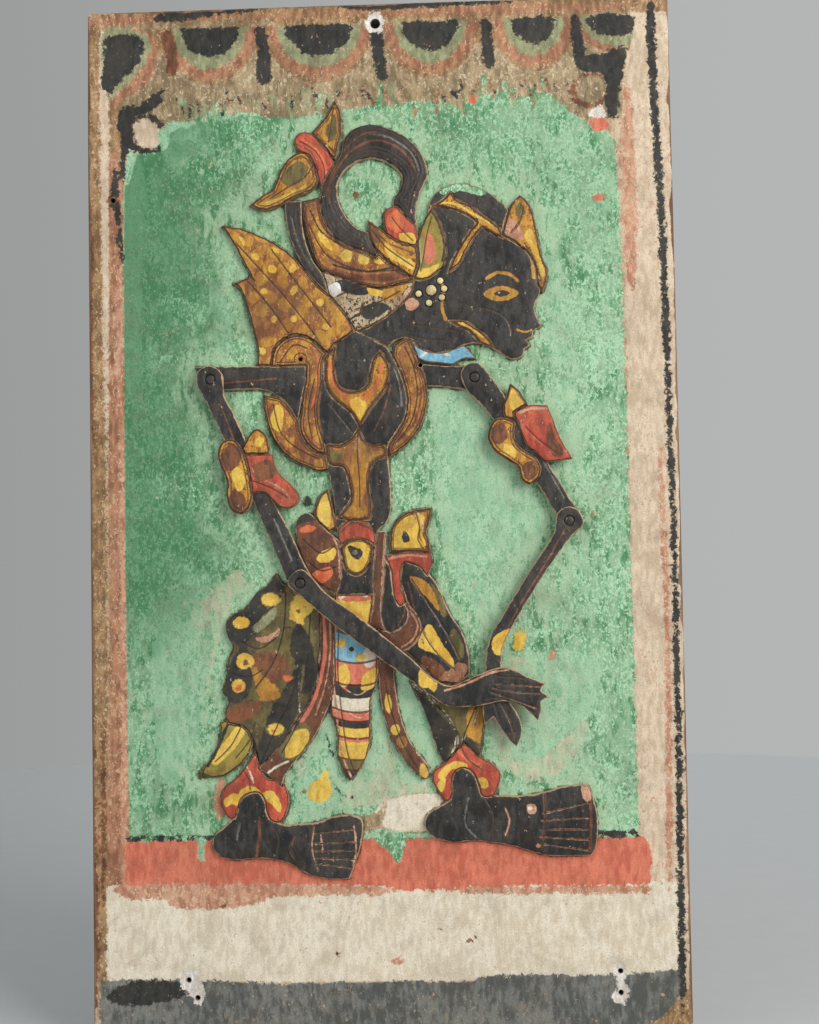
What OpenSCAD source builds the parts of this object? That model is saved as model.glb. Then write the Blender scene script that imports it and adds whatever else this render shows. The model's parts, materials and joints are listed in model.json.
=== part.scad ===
// Painted wall panel with a flat jointed puppet figure.
// Origin: middle of the board's bottom face. +X is the viewer's right, the painted front faces -Y, +Z is up.
// Outlines are lists of [x, z] points in millimetres on a smooth closed curve; a third value of 1 marks a corner.

/* [Board] */
// Width of the plank
board_w = 340; // [336:1:420]
// Height of the plank
board_h = 600; // [596:1:700]
// Thickness of the plank
board_t = 24; // [18:1:36]

/* [Figure] */
// Thickness of the carved pieces that are glued to the plank
relief_t = 3.5; // [3:0.1:6]
// Depth of the pieces that are let into the torso and the head
inlay_t = 2; // [1:0.1:2.5]
// Thickness of an arm piece
arm_t = 2.4; // [2:0.1:4]
// How far an armband stands in front of its arm
armband_rise = 1.6; // [1:0.1:2]
// Air between one layer of moving pieces and the next
layer_gap = 0.2; // [0.15:0.05:0.5]

/* [Pins] */
// Diameter of the hinge pins
pin_d = 3; // [2.5:0.1:4]
// Diameter of a pin's flat head
pin_head_d = 5.2; // [4.8:0.1:7]
// Thickness of a pin's head
pin_head_t = 0.8; // [0.5:0.1:1.2]
// Clearance round a pin in the piece that turns on it, measured on the radius
running_fit = 0.05; // [0.03:0.01:0.1]
// How deep a shoulder pin goes into the plank
pin_depth = 8; // [5:0.5:14]
// Outer diameter of the washer in the left elbow
washer_d = 9; // [7:0.5:12]

/* [Holes] */
// Diameter of the hanging hole through the plank
hanging_hole_d = 5.5; // [4:0.1:8]
// Diameter of the old nail holes along the bottom edge
nail_hole_d = 2.6; // [2:0.1:4]
// Depth of the old nail holes
nail_hole_depth = 15; // [5:1:17]
// Diameter of the two peg holes at the inner shoulders
peg_hole_d = 2.5; // [2:0.1:3.5]

/* [Hidden] */
$fn = 48;

// Layers, each measured forwards from the middle of the plank
board_front = board_t / 2;
relief_front = board_front + relief_t;
upper_arm_back = relief_front + layer_gap;
upper_arm_front = upper_arm_back + arm_t;
right_forearm_back = upper_arm_front + layer_gap;
right_forearm_front = right_forearm_back + arm_t;
left_forearm_back = right_forearm_front + layer_gap;
left_forearm_front = left_forearm_back + arm_t;

// Hinge centres, as [x, z]
left_shoulder_at = [-98, 381];
left_elbow_at = [-47, 263];
right_shoulder_at = [54, 379];
right_elbow_at = [106, 296];

// Holes in the plank, as [x, z]
hanging_hole_at = [0, 588];
nail_holes_at = [[-115, 38], [-110, 28], [130, 42], [130, 30], [-155, 488]];
peg_holes_at = [[-46, 392], [23, 387]];
peg_hole_depth = 10;
washer_play = 0.1;

// Ear ornament: one boss and its petals round it
ear_boss_at = [30, 430];
ear_boss_r = 3;
ear_petal_r = 1.8;
ear_ring_r = 7.5;
ear_petal_angles = [45, 5, -36, -100, -165];
ear_rise = 0.8;

// ---- curves and plates ----

// Length of the short straight runs that a curve is made of
curve_step = 2.5;

function place(p) = [p[0], p[1]];
function is_corner(p) = len(p) > 2;

// A point between b and c on the curve that passes a, b, c and d
function on_curve(a, b, c, d, t) =
    let (
        leave = is_corner(b) ? place(c) - place(b) : (place(c) - place(a)) / 2,
        arrive = is_corner(c) ? place(c) - place(b) : (place(d) - place(b)) / 2
    )
    (2 * t ^ 3 - 3 * t ^ 2 + 1) * place(b) + (t ^ 3 - 2 * t ^ 2 + t) * leave
    + (3 * t ^ 2 - 2 * t ^ 3) * place(c) + (t ^ 3 - t ^ 2) * arrive;

function run_count(b, c) =
    is_corner(b) && is_corner(c) ? 1 : max(2, round(norm(place(c) - place(b)) / curve_step));

function smooth(points) =
    let (n = len(points))
    [for (i = [0 : n - 1])
        let (b = points[i], c = points[(i + 1) % n], runs = run_count(b, c))
        for (k = [0 : runs - 1])
            on_curve(points[(i + n - 1) % n], b, c, points[(i + 2) % n], k / runs)];

module outline(points) {
    polygon(smooth(points));
}

// A flat piece from one layer to another, its outline drawn as seen from the front
module plate(back, front) {
    translate([0, -back, 0])
        rotate([90, 0, 0])
            linear_extrude(front - back)
                children();
}

module relief() {
    plate(board_front, relief_front) children();
}

module inlay() {
    plate(relief_front - inlay_t, relief_front) children();
}

// A round rod or hole along the depth, between two layers
module rod(at, d, back, front) {
    translate([at[0], -back, at[1]])
        rotate([90, 0, 0])
            cylinder(d = d, h = front - back);
}

module peg_holes() {
    for (at = peg_holes_at)
        rod(at, peg_hole_d, board_front - peg_hole_depth, relief_front + 1);
}

// A hinge pin whose flat head ends flush with the layer that it holds
module pin(at, back, front) {
    rod(at, pin_d, back, front);
    rod(at, pin_head_d, front - pin_head_t, front);
}

// The running hole of a turning piece, with a shallow seat for the pin's head
module pivot_hole(at, back, front) {
    head_play = 0.2;
    seat_play = 0.1;
    rod(at, pin_d + 2 * running_fit, back - 1, front + 1);
    rod(at, pin_head_d + 2 * head_play, front - pin_head_t - seat_play, front + 1);
}

// ---- plank ----

module back_board() {
    color("darkseagreen")
        difference() {
            translate([-board_w / 2, -board_t / 2, 0])
                cube([board_w, board_t, board_h]);
            rod(hanging_hole_at, hanging_hole_d, -board_front - 1, board_front + 1);
            for (at = nail_holes_at)
                rod(at, nail_hole_d, board_front - nail_hole_depth, board_front + 1);
            for (at = [left_shoulder_at, right_shoulder_at])
                rod(at, pin_d, board_front - pin_depth, board_front + 1);
            peg_holes();
        }
}

// ---- torso and what is let into it ----

module torso_outline() {
    outline([[-26, 400, 1], [-14, 408, 1], [4, 398, 1], [9, 389], [13, 378], [15, 368], [14, 358],
        [9, 349], [4, 341], [4, 330], [5, 316], [4, 300], [-3, 292, 1], [-5, 275], [-6, 262], [-5, 256, 1],
        [-27, 256, 1], [-24, 268], [-25, 284], [-27, 298], [-28, 312], [-31, 328], [-32, 340],
        [-35, 352], [-36, 364], [-34, 376], [-33, 390]]);
}

module necklace_outline() {
    outline([[-32, 396, 1], [-32, 387], [-32, 379], [-29, 371], [-23, 365], [-17, 360], [-12, 351, 1],
        [-8, 359], [-3, 366], [2, 372], [5, 380], [5, 388], [0, 396, 1], [-4, 391], [-6, 383],
        [-8, 376], [-14, 373], [-21, 374], [-25, 379], [-26, 389], [-25, 399, 1]]);
}

module chest_knot_outline() {
    outline([[-13, 352, 1], [-17, 346], [-24, 342], [-32, 342], [-30, 331], [-22, 329], [-19, 320],
        [-18, 311], [-22, 305], [-26, 300, 1], [-16, 298], [-7, 299, 1], [-6, 307], [-7, 316],
        [-7, 325], [-4, 332], [3, 335], [2, 341], [-5, 342], [-10, 345]]);
}

module belt_top_outline() {
    outline([[-25, 284, 1], [-27, 291], [-22, 297], [-16, 299], [-8, 296], [-4, 289], [-5, 284, 1],
        [-10, 287], [-15, 288], [-20, 287]]);
}

module belt_shield_outline() {
    outline([[-24, 283], [-20, 287], [-13, 288], [-6, 285], [-6, 280], [-8, 273], [-12, 268], [-17, 267],
        [-22, 271], [-23, 277]]);
}

module torso() {
    color("#2e2e30")
        difference() {
            relief() torso_outline();
            inlay() {
                necklace_outline();
                chest_knot_outline();
                belt_top_outline();
                belt_shield_outline();
            }
        }
}

module necklace() {
    color("#c8871e")
        inlay()
            intersection() {
                necklace_outline();
                torso_outline();
            }
}

module chest_knot() {
    color("#8a5a34")
        inlay()
            intersection() {
                chest_knot_outline();
                difference() {
                    torso_outline();
                    necklace_outline();
                }
            }
}

module belt_top() {
    color("#c9572f")
        inlay()
            intersection() {
                difference() {
                    belt_top_outline();
                    belt_shield_outline();
                    chest_knot_outline();
                }
                torso_outline();
            }
}

module belt_shield() {
    color("#e0a52c")
        inlay()
            intersection() {
                belt_shield_outline();
                torso_outline();
            }
}

// ---- head ----

module head_outline() {
    outline([[29, 466], [29, 478], [33, 486], [40, 490.5], [49, 492], [58, 489], [67, 484], [76, 474],
        [84, 460], [90, 447], [92, 436], [93, 430], [91, 424], [89, 419], [90, 414], [93, 408, 1],
        [88, 405], [88, 402], [84, 400, 1], [86, 397], [83, 395], [82, 391], [76, 389], [69, 393],
        [62, 397], [54, 399], [46, 397], [38, 394], [30, 394], [22, 397], [18, 402], [10, 402],
        [0, 394, 1], [-16, 404, 1], [0, 413], [10, 420], [18, 428], [21, 438], [24, 452]]);
}

module crown_straps_outline() {
    outline([[31, 479, 1], [37, 482], [42, 487, 1], [46, 482], [54, 478], [63, 471], [70, 465],
        [72, 459, 1], [66, 462], [60, 466], [53, 472], [45, 476], [38, 478]]);
    outline([[64, 469, 1], [57, 462], [51, 453], [46, 444], [40, 440, 1], [42, 446], [47, 455],
        [53, 464], [60, 472, 1]]);
}

module crown_front_outline() {
    outline([[71, 461, 1], [74, 472, 1], [77, 479], [82, 484, 1], [87, 479], [90, 470], [92, 459],
        [94, 448], [97, 438], [94, 427, 1], [91, 433], [90, 442], [86, 450], [79, 456]]);
}

module chin_strap_outline() {
    outline([[40, 412, 1], [48, 412], [55, 408], [61, 403], [66, 396, 1], [59, 397], [56, 401],
        [51, 406], [45, 409]]);
}

module ear_pearl_rods(back, front) {
    rod(ear_boss_at, 2 * ear_boss_r, back, front);
    for (a = ear_petal_angles)
        rod(ear_boss_at + ear_ring_r * [cos(a), sin(a)], 2 * ear_petal_r, back, front);
}

module head() {
    color("#2e2e30")
        difference() {
            relief()
                difference() {
                    head_outline();
                    torso_outline();
                    crown_front_outline();
                    crest_left_leaf_outline();
                    crest_right_leaf_outline();
                }
            inlay() {
                crown_straps_outline();
                chin_strap_outline();
            }
            ear_pearl_rods(relief_front - inlay_t, relief_front + 1);
        }
}

module crown_straps() {
    color("#d8a036")
        inlay()
            intersection() {
                crown_straps_outline();
                difference() {
                    head_outline();
                    crown_front_outline();
                    crest_right_leaf_outline();
                }
            }
}

module crown_front() {
    color("#dba63a")
        relief() crown_front_outline();
}

module chin_strap() {
    color("#c98d2c")
        inlay()
            intersection() {
                chin_strap_outline();
                head_outline();
            }
}

module ear_pearls() {
    color("#d9c089")
        ear_pearl_rods(relief_front - inlay_t, relief_front + ear_rise);
}

module collar_outline() {
    outline([[18, 402], [20, 393], [26, 389], [34, 388], [42, 387], [47, 390], [55, 390, 1], [50, 396],
        [44, 400], [30, 400]]);
}

module collar() {
    color("#86aec2")
        relief()
            difference() {
                collar_outline();
                head_outline();
                halo_right_outline();
            }
}

// ---- hair ----

module hair_curl_outline() {
    outline([[-2, 450, 1], [-10, 454], [-18, 457], [-25, 462], [-30, 469], [-33, 478], [-33, 486], [-31, 495],
        [-26, 503], [-21, 511], [-19, 520], [-13, 526], [-3, 528], [8, 525], [17, 520], [24, 513],
        [28, 505], [29, 498], [26, 490], [23, 482], [22, 473], [24, 460, 1], [8, 466, 1], [9, 477], [9, 484],
        [13, 490], [14, 497], [10, 502], [4, 506], [-4, 508], [-12, 506], [-19, 501], [-23, 494],
        [-23, 485], [-20, 477], [-15, 470], [-9, 466], [-2, 464], [4, 456, 1]]);
}

module nape_crescent_outline() {
    outline([[-54, 484, 1], [-53, 470], [-49, 457], [-43, 445], [-36, 436], [-29, 429, 1], [-32, 440],
        [-38, 449], [-42, 460], [-44, 472], [-44, 484, 1]]);
}

module hair_band_outline() {
    outline([[-44, 484, 1], [-33, 486, 1], [-30, 470], [-22, 460], [-8, 456], [4, 452], [16, 446],
        [22, 436, 1], [12, 434], [2, 432], [-10, 434], [-20, 438], [-30, 442], [-36, 448],
        [-40, 460], [-43, 472]]);
}

module hair_base_outline() {
    outline([[-29, 429, 1], [-34, 442, 1], [-18, 442], [4, 437], [16, 440, 1], [23, 434, 1], [10, 419, 1],
        [0, 413], [-14, 407, 1], [-20, 418]]);
}

module hair_tip_band_outline() {
    outline([[-48, 520], [-45, 524], [-39, 524], [-33, 518], [-28, 512], [-25, 505], [-26, 497],
        [-32, 489, 1], [-34, 496], [-36, 504], [-40, 511], [-46, 514]]);
}

module hair_curl() {
    color("#3a3234")
        relief()
            difference() {
                hair_curl_outline();
                head_outline();
                crest_left_leaf_outline();
                crest_bud_outline();
                crest_right_leaf_outline();
            }
}

module nape_crescent() {
    color("#26262a")
        relief()
            difference() {
                nape_crescent_outline();
                hair_tip_lower_leaf_outline();
            }
}

module hair_band() {
    color("#9a7440")
        relief()
            difference() {
                hair_band_outline();
                hair_curl_outline();
                nape_crescent_outline();
                hair_tip_lower_leaf_outline();
                crest_left_leaf_outline();
                crest_right_leaf_outline();
                head_outline();
            }
}

module hair_base() {
    color("#b9a98c")
        relief()
            difference() {
                hair_base_outline();
                hair_band_outline();
                nape_crescent_outline();
                crest_left_leaf_outline();
                head_outline();
                torso_outline();
            }
}

module hair_tip_lower_leaf_outline() {
    outline([[-33, 498], [-32, 508], [-37, 513], [-47, 512], [-54, 506], [-58, 498], [-61, 491, 1],
        [-68, 487], [-75, 482, 1], [-66, 479], [-58, 481], [-48, 486], [-38, 490]]);
}

module hair_tip_upper_leaf() {
    color("#c3922f")
        relief()
            difference() {
                outline([[-24, 543, 1], [-28, 535], [-34, 528], [-40, 522, 1], [-33, 513], [-24, 508, 1],
                    [-22, 516], [-20, 526], [-21, 536]]);
                hair_tip_band_outline();
                hair_curl_outline();
            }
}

module hair_tip_band() {
    color("#b4502f")
        relief()
            difference() {
                hair_tip_band_outline();
                hair_curl_outline();
            }
}

module hair_tip_lower_leaf() {
    color("#c3922f")
        relief()
            difference() {
                hair_tip_lower_leaf_outline();
                hair_tip_band_outline();
                hair_curl_outline();
            }
}

// ---- crest ----

module crest_left_leaf_outline() {
    outline([[-6, 472, 1], [1, 467], [7, 462], [14, 458], [22, 456, 1], [23, 446], [20, 437, 1], [14, 441],
        [6, 447], [-1, 454], [-5, 463]]);
}

module crest_bud_outline() {
    outline([[3, 472], [5, 478], [11, 479], [17, 472], [22, 467], [24, 456, 1], [14, 455], [6, 462]]);
}

module crest_right_leaf_outline() {
    outline([[31, 478, 1], [35, 471], [38, 463], [39, 453], [38, 445], [32, 439], [25, 436], [20, 437, 1],
        [22, 446], [22, 456], [24, 464], [27, 471]]);
}

module crest_left_leaf() {
    color("#b5832b")
        relief() crest_left_leaf_outline();
}

module crest_bud() {
    color("#c9603f")
        relief()
            difference() {
                crest_bud_outline();
                crest_left_leaf_outline();
                crest_right_leaf_outline();
            }
}

module crest_right_leaf() {
    color("#9c8a4a")
        relief()
            difference() {
                crest_right_leaf_outline();
                crest_left_leaf_outline();
            }
}

// ---- wing and halo behind the shoulders ----

module halo_left_inner_outline() {
    outline([[-63, 388, 1], [-61, 398], [-55, 404], [-47, 406], [-39, 403], [-33, 397], [-28, 388], [-28, 340],
        [-37, 338, 1], [-43, 343], [-47, 352], [-46, 362], [-45, 372], [-43, 380], [-43, 388, 1]]);
}

module halo_right_outline() {
    outline([[8, 399, 1], [16, 403], [20, 396], [23, 388], [26, 378], [27, 368], [25, 358], [21, 349],
        [14, 341], [4, 334, 1], [4, 370]]);
}

module left_shoulder_outline() {
    outline([[-107, 389, 1], [-43, 388, 1], [-43, 380], [-45, 371], [-48, 357, 1], [-54, 366],
        [-61, 372], [-70, 375], [-92, 375, 1], [-101, 371, 1]]);
}

module back_wing() {
    color("#ab6f2c")
        relief()
            difference() {
                outline([[-91, 471, 1], [-80, 469], [-70, 465], [-60, 460], [-51, 453], [-43, 444], [-35, 434],
                    [-26, 426], [-20, 418], [-13, 407, 1], [-26, 398, 1], [-32, 394, 1], [-40, 390, 1],
                    [-63, 388, 1], [-71, 388, 1], [-71, 400], [-74, 412], [-77, 424], [-80, 433], [-85, 437, 1],
                    [-79, 439], [-74, 441, 1], [-79, 450], [-84, 460]]);
                halo_left_inner_outline();
                left_shoulder_outline();
                torso_outline();
                head_outline();
                hair_base_outline();
                nape_crescent_outline();
            }
}

module halo_left_inner() {
    color("#a06e33")
        difference() {
            relief()
                difference() {
                    halo_left_inner_outline();
                    torso_outline();
                }
            peg_holes();
        }
}

module halo_left_outer() {
    color("#8d5f33")
        relief()
            difference() {
                outline([[-68, 372, 1], [-50, 368, 1], [-44, 350], [-36, 340], [-31, 338, 1], [-30, 328, 1],
                    [-36, 327], [-44, 330], [-52, 334], [-59, 341], [-64, 350], [-67, 361]]);
                halo_left_inner_outline();
                left_shoulder_outline();
                torso_outline();
            }
}

module halo_right() {
    color("#8d5f33")
        difference() {
            relief()
                difference() {
                    halo_right_outline();
                    torso_outline();
                    head_outline();
                }
            peg_holes();
        }
}

module left_shoulder() {
    color("#2e2e30")
        difference() {
            relief()
                difference() {
                    left_shoulder_outline();
                    halo_left_inner_outline();
                }
            rod(left_shoulder_at, pin_d, board_front - 1, relief_front + 1);
        }
}

module right_shoulder() {
    color("#2e2e30")
        difference() {
            relief()
                difference() {
                    outline([[20, 388, 1], [40, 386], [58, 386, 1], [62, 379], [59, 373], [50, 372], [38, 374],
                        [24, 375, 1]]);
                    halo_right_outline();
                    collar_outline();
                }
            rod(right_shoulder_at, pin_d, board_front - 1, relief_front + 1);
            peg_holes();
        }
}

module shoulder_pins() {
    color("#1f1f21") {
        pin(left_shoulder_at, board_front - pin_depth, upper_arm_front);
        pin(right_shoulder_at, board_front - pin_depth, upper_arm_front);
    }
}

// ---- left arm ----

module left_upper_arm_outline() {
    outline([[-98, 389], [-105, 386], [-106, 379], [-101, 369], [-95, 356], [-88, 341], [-79, 321],
        [-72, 306], [-66, 292], [-60, 277], [-54, 262], [-49, 256], [-42, 258], [-40, 264], [-46, 276],
        [-52, 290], [-59, 304], [-65, 315], [-71, 328], [-78, 346], [-84, 360], [-90, 372], [-91, 384]]);
}

module left_upper_arm() {
    color("#2e2e30")
        difference() {
            plate(upper_arm_back, upper_arm_front) left_upper_arm_outline();
            pivot_hole(left_shoulder_at, upper_arm_back, upper_arm_front);
            rod(left_elbow_at, pin_d, upper_arm_back - 1, upper_arm_front + 1);
        }
}

// An armband wraps over the front and the sides of its arm
module armband(arm_layer_back, arm_layer_front) {
    difference() {
        plate(arm_layer_back, arm_layer_front + armband_rise) children(0);
        plate(arm_layer_back - 1, arm_layer_front) children(1);
    }
}

module left_armband_scroll_outline() {
    outline([[-91, 345], [-94, 338], [-92, 330], [-89, 322], [-89, 313], [-87, 306], [-82, 303],
        [-77, 305], [-74, 312], [-75, 323], [-77, 333], [-80, 341], [-85, 346]]);
}

module left_armband_scroll() {
    color("#b5832b")
        armband(upper_arm_back, upper_arm_front) {
            left_armband_scroll_outline();
            left_upper_arm_outline();
        }
}

module left_armband_leaf_outline() {
    outline([[-79, 337, 1], [-62, 337, 1], [-61, 331], [-57, 324], [-51, 319], [-47, 312], [-50, 307],
        [-57, 306], [-62, 310], [-67, 315], [-74, 315, 1], [-76, 326]]);
}

module left_armband_leaf() {
    color("#9b3f33")
        armband(upper_arm_back, upper_arm_front) {
            difference() {
                left_armband_leaf_outline();
                left_armband_scroll_outline();
            }
            left_upper_arm_outline();
        }
}

module left_armband_tip() {
    color("#c3922f")
        armband(upper_arm_back, upper_arm_front) {
            difference() {
                outline([[-80, 340, 1], [-76, 348], [-71, 352], [-66, 348], [-64, 341], [-64, 336, 1],
                    [-78, 336, 1]]);
                left_armband_scroll_outline();
                left_armband_leaf_outline();
            }
            left_upper_arm_outline();
        }
}

module left_elbow_pin() {
    color("#1f1f21")
        pin(left_elbow_at, upper_arm_back, left_forearm_front);
}

module left_elbow_washer() {
    color("#6f5a3c")
        difference() {
            rod(left_elbow_at, washer_d, upper_arm_front, left_forearm_back - washer_play);
            rod(left_elbow_at, pin_d, upper_arm_front - 1, left_forearm_back + 1);
        }
}

module left_forearm() {
    color("#2e2e30")
        difference() {
            plate(left_forearm_back, left_forearm_front)
                outline([[-54, 262], [-52, 268], [-46, 271], [-40, 266], [-32, 257], [-20, 248], [-8, 239],
                    [4, 229], [16, 219], [24, 211], [31, 206], [38, 204], [46, 207], [53, 210], [61, 213],
                    [68, 214], [76, 211], [84, 207], [91, 205, 1], [88, 201], [93, 197, 1], [88, 195],
                    [88, 190], [86, 184, 1], [82, 188], [76, 193], [66, 195], [56, 193], [44, 192],
                    [35, 193], [27, 198], [14, 208], [0, 218], [-12, 227], [-24, 236], [-36, 246], [-47, 256]]);
            pivot_hole(left_elbow_at, left_forearm_back, left_forearm_front);
        }
}

// ---- right arm ----

module right_upper_arm_outline() {
    outline([[46, 380], [49, 386], [56, 387], [62, 381], [69, 371], [78, 357], [87, 342], [96, 327],
        [105, 312], [112, 300], [114, 294], [108, 288], [101, 290], [98, 301], [90, 315], [80, 331],
        [70, 346], [60, 360], [50, 371]]);
}

module right_upper_arm() {
    color("#2e2e30")
        difference() {
            plate(upper_arm_back, upper_arm_front) right_upper_arm_outline();
            pivot_hole(right_shoulder_at, upper_arm_back, upper_arm_front);
            rod(right_elbow_at, pin_d, upper_arm_back - 1, upper_arm_front + 1);
        }
}

module right_armband_scroll_outline() {
    outline([[66, 355], [62, 350], [61, 343], [65, 336], [72, 331], [78, 326], [79, 320], [84, 317], [89, 320],
        [91, 326], [88, 332], [82, 336], [77, 341], [76, 347], [77, 352, 1], [72, 355]]);
}

module right_armband_scroll() {
    color("#b5832b")
        armband(upper_arm_back, upper_arm_front) {
            right_armband_scroll_outline();
            right_upper_arm_outline();
        }
}

module right_armband_leaf_outline() {
    outline([[76, 358, 1], [84, 362], [95, 362, 1], [98, 354], [102, 343], [109, 331, 1], [100, 330],
        [93, 330], [88, 335], [83, 339], [80, 346]]);
}

module right_armband_leaf() {
    color("#9b3f33")
        armband(upper_arm_back, upper_arm_front) {
            difference() {
                right_armband_leaf_outline();
                right_armband_scroll_outline();
            }
            right_upper_arm_outline();
        }
}

module right_armband_tip() {
    color("#d9b155")
        armband(upper_arm_back, upper_arm_front) {
            difference() {
                outline([[70, 362], [72, 368], [74, 375, 1], [79, 371], [82, 366], [85, 361, 1], [78, 354, 1],
                    [71, 355]]);
                right_armband_scroll_outline();
                right_armband_leaf_outline();
            }
            right_upper_arm_outline();
        }
}

module right_elbow_pin() {
    color("#1f1f21")
        pin(right_elbow_at, upper_arm_back, right_forearm_front);
}

module right_forearm() {
    color("#2e2e30")
        difference() {
            plate(right_forearm_back, right_forearm_front)
                outline([[114, 294], [108, 288], [100, 278], [90, 264], [81, 250], [73, 237], [68, 227], [66, 216],
                    [67, 205], [70, 195], [75, 187], [77, 178], [74, 169, 1], [68, 175], [61, 186, 1],
                    [56, 182, 1], [55, 190], [56, 202], [57, 214], [59, 228], [66, 241], [76, 257], [87, 274],
                    [97, 289], [99, 300], [106, 304], [112, 301]]);
            pivot_hole(right_elbow_at, right_forearm_back, right_forearm_front);
        }
}

// ---- waist ----

module hip_sash_outline() {
    outline([[-50, 296], [-47, 302], [-42, 303], [-37, 298], [-30, 291], [-22, 285, 1], [-22, 260, 1], [-28, 257, 1],
        [-36, 262], [-42, 268], [-46, 276], [-49, 285]]);
}

module waist_leaf() {
    color("#e0b04a")
        relief()
            difference() {
                outline([[-39, 296, 1], [-39, 305], [-36, 313], [-31, 317, 1], [-29, 308], [-26, 295, 1],
                    [-33, 290, 1]]);
                hip_sash_outline();
                torso_outline();
            }
}

module hip_sash() {
    color("#5a4333")
        relief()
            difference() {
                hip_sash_outline();
                torso_outline();
            }
}

module kris_handle_outline() {
    outline([[4, 280, 1], [4, 289], [6, 296], [11, 301], [18, 304], [28, 305, 1], [27, 297], [25, 291], [27, 284],
        [27, 279, 1], [16, 280]]);
}

module kris_guard_outline() {
    outline([[0, 278, 1], [27, 282, 1], [28, 273], [25, 266, 1], [20, 272], [12, 274], [10, 268], [10, 260],
        [12, 252], [9, 249], [6, 254], [5, 262], [4, 271]]);
}

module front_sash_outline() {
    outline([[-4, 292, 1], [2, 292, 1], [1, 278], [0, 262], [-2, 246], [0, 235, 1], [-9, 238, 1], [-7, 250],
        [-7, 262], [-7, 276]]);
}

module front_drop_outline() {
    outline([[0, 278, 1], [5, 272], [9, 260], [11, 252], [14, 246], [13, 240], [9, 236], [3, 234], [-1, 238],
        [-4, 246], [-4, 262]]);
}

module front_round_outline() {
    outline([[12, 251, 1], [18, 245], [21, 237], [18, 229], [11, 224], [4, 227], [-4, 236, 1], [4, 246, 1]]);
}

module kris_handle() {
    color("#e3b64d")
        relief()
            difference() {
                kris_handle_outline();
                torso_outline();
            }
}

module kris_guard() {
    color("#c9573f")
        relief()
            difference() {
                kris_guard_outline();
                kris_handle_outline();
                front_sash_outline();
            }
}

module front_sash() {
    color("#6e4630")
        relief()
            difference() {
                front_sash_outline();
                torso_outline();
            }
}

module front_drop() {
    color("#232324")
        relief()
            difference() {
                front_drop_outline();
                kris_guard_outline();
                front_sash_outline();
            }
}

module front_round() {
    color("#8a5138")
        relief()
            difference() {
                front_round_outline();
                front_drop_outline();
                front_sash_outline();
                kris_guard_outline();
            }
}

// ---- skirts and cloths ----

module right_skirt_outline() {
    outline([[8, 276, 1], [24, 270, 1], [31, 260], [35, 250], [39, 242], [43, 236], [46, 229], [48, 220],
        [48, 210, 1], [42, 205], [36, 204], [28, 208], [20, 216], [10, 224, 1], [8, 250, 1]]);
}

module apron_outline() {
    outline([[-28, 258, 1], [-24, 264], [-17, 267], [-9, 265], [-5, 257], [-6, 245], [-4, 230], [-3, 214],
        [-5, 205], [-8, 198], [-9, 186], [-9, 174], [-11, 165], [-15, 157], [-21, 150, 1], [-26, 158],
        [-28, 168], [-28, 178], [-31, 188], [-31, 198], [-29, 208], [-29, 222], [-29, 240]]);
}

module left_fold_band_outline() {
    outline([[-36, 250, 1], [-26, 256, 1], [-26, 222], [-27, 204], [-33, 192], [-38, 181], [-44, 171], [-52, 162],
        [-58, 154], [-60, 148, 1], [-66, 153], [-73, 158, 1], [-66, 165], [-58, 174], [-51, 184],
        [-45, 193], [-40, 203], [-38, 214], [-37, 230]]);
}

module left_skirt_outline() {
    outline([[-62, 269, 1], [-67, 262], [-74, 257], [-79, 250], [-86, 246], [-91, 241], [-90, 233], [-87, 227],
        [-90, 219], [-91, 210], [-93, 203], [-90, 196], [-92, 190], [-90, 184], [-82, 182], [-77, 176],
        [-74, 167], [-72, 158, 1], [-60, 160, 1], [-36, 200, 1], [-32, 240], [-24, 256, 1], [-36, 264],
        [-44, 270], [-52, 267], [-57, 262]]);
}

module tail_cloth() {
    color("#b0973f")
        relief()
            difference() {
                outline([[-95, 184, 1], [-80, 190, 1], [-76, 174], [-80, 164], [-86, 158], [-93, 154], [-100, 153],
                    [-106, 156], [-101, 163], [-97, 171], [-95, 177]]);
                left_skirt_outline();
                left_anklet_outline();
            }
}

module right_skirt() {
    color("#3b3330")
        relief()
            difference() {
                right_skirt_outline();
                kris_guard_outline();
                kris_handle_outline();
                front_drop_outline();
                front_round_outline();
            }
}

module apron() {
    color("#c9573f")
        relief()
            difference() {
                apron_outline();
                torso_outline();
                front_sash_outline();
                front_round_outline();
                hip_sash_outline();
            }
}

module left_fold_band() {
    color("#8c4f35")
        relief()
            difference() {
                left_fold_band_outline();
                apron_outline();
                hip_sash_outline();
                torso_outline();
            }
}

module left_skirt() {
    color("#55492f")
        relief()
            difference() {
                left_skirt_outline();
                left_fold_band_outline();
                apron_outline();
                hip_sash_outline();
                torso_outline();
            }
}

module right_fold_band() {
    color("#7a5a38")
        relief()
            difference() {
                outline([[-6, 234, 1], [6, 226, 1], [5, 212], [6, 200], [8, 188], [11, 178], [16, 168], [21, 162],
                    [24, 157], [23, 151], [18, 153], [12, 160], [6, 168], [2, 177], [-1, 187], [-3, 198],
                    [-4, 214]]);
                apron_outline();
                front_sash_outline();
                front_round_outline();
            }
}

module right_leg_cloth_outline() {
    outline([[14, 206, 1], [22, 219, 1], [46, 212, 1], [56, 194, 1], [56, 185], [55, 174], [53, 162, 1], [48, 168],
        [44, 172, 1], [39, 166], [33, 159, 1], [29, 168], [25, 181], [20, 194]]);
}

module right_leg_cloth() {
    color("#6a6238")
        relief()
            difference() {
                right_leg_cloth_outline();
                right_skirt_outline();
                right_anklet_outline();
            }
}

// ---- legs ----

module left_anklet_outline() {
    outline([[-75, 168, 1], [-80, 160], [-86, 153], [-92, 148], [-95, 142], [-94, 135], [-91, 130], [-87, 130],
        [-85, 136], [-83, 141], [-78, 144], [-73, 144], [-70, 140], [-69, 134], [-67, 129], [-62, 127],
        [-58, 131], [-56, 138], [-57, 145], [-60, 152, 1], [-68, 152], [-72, 158]]);
}

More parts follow.
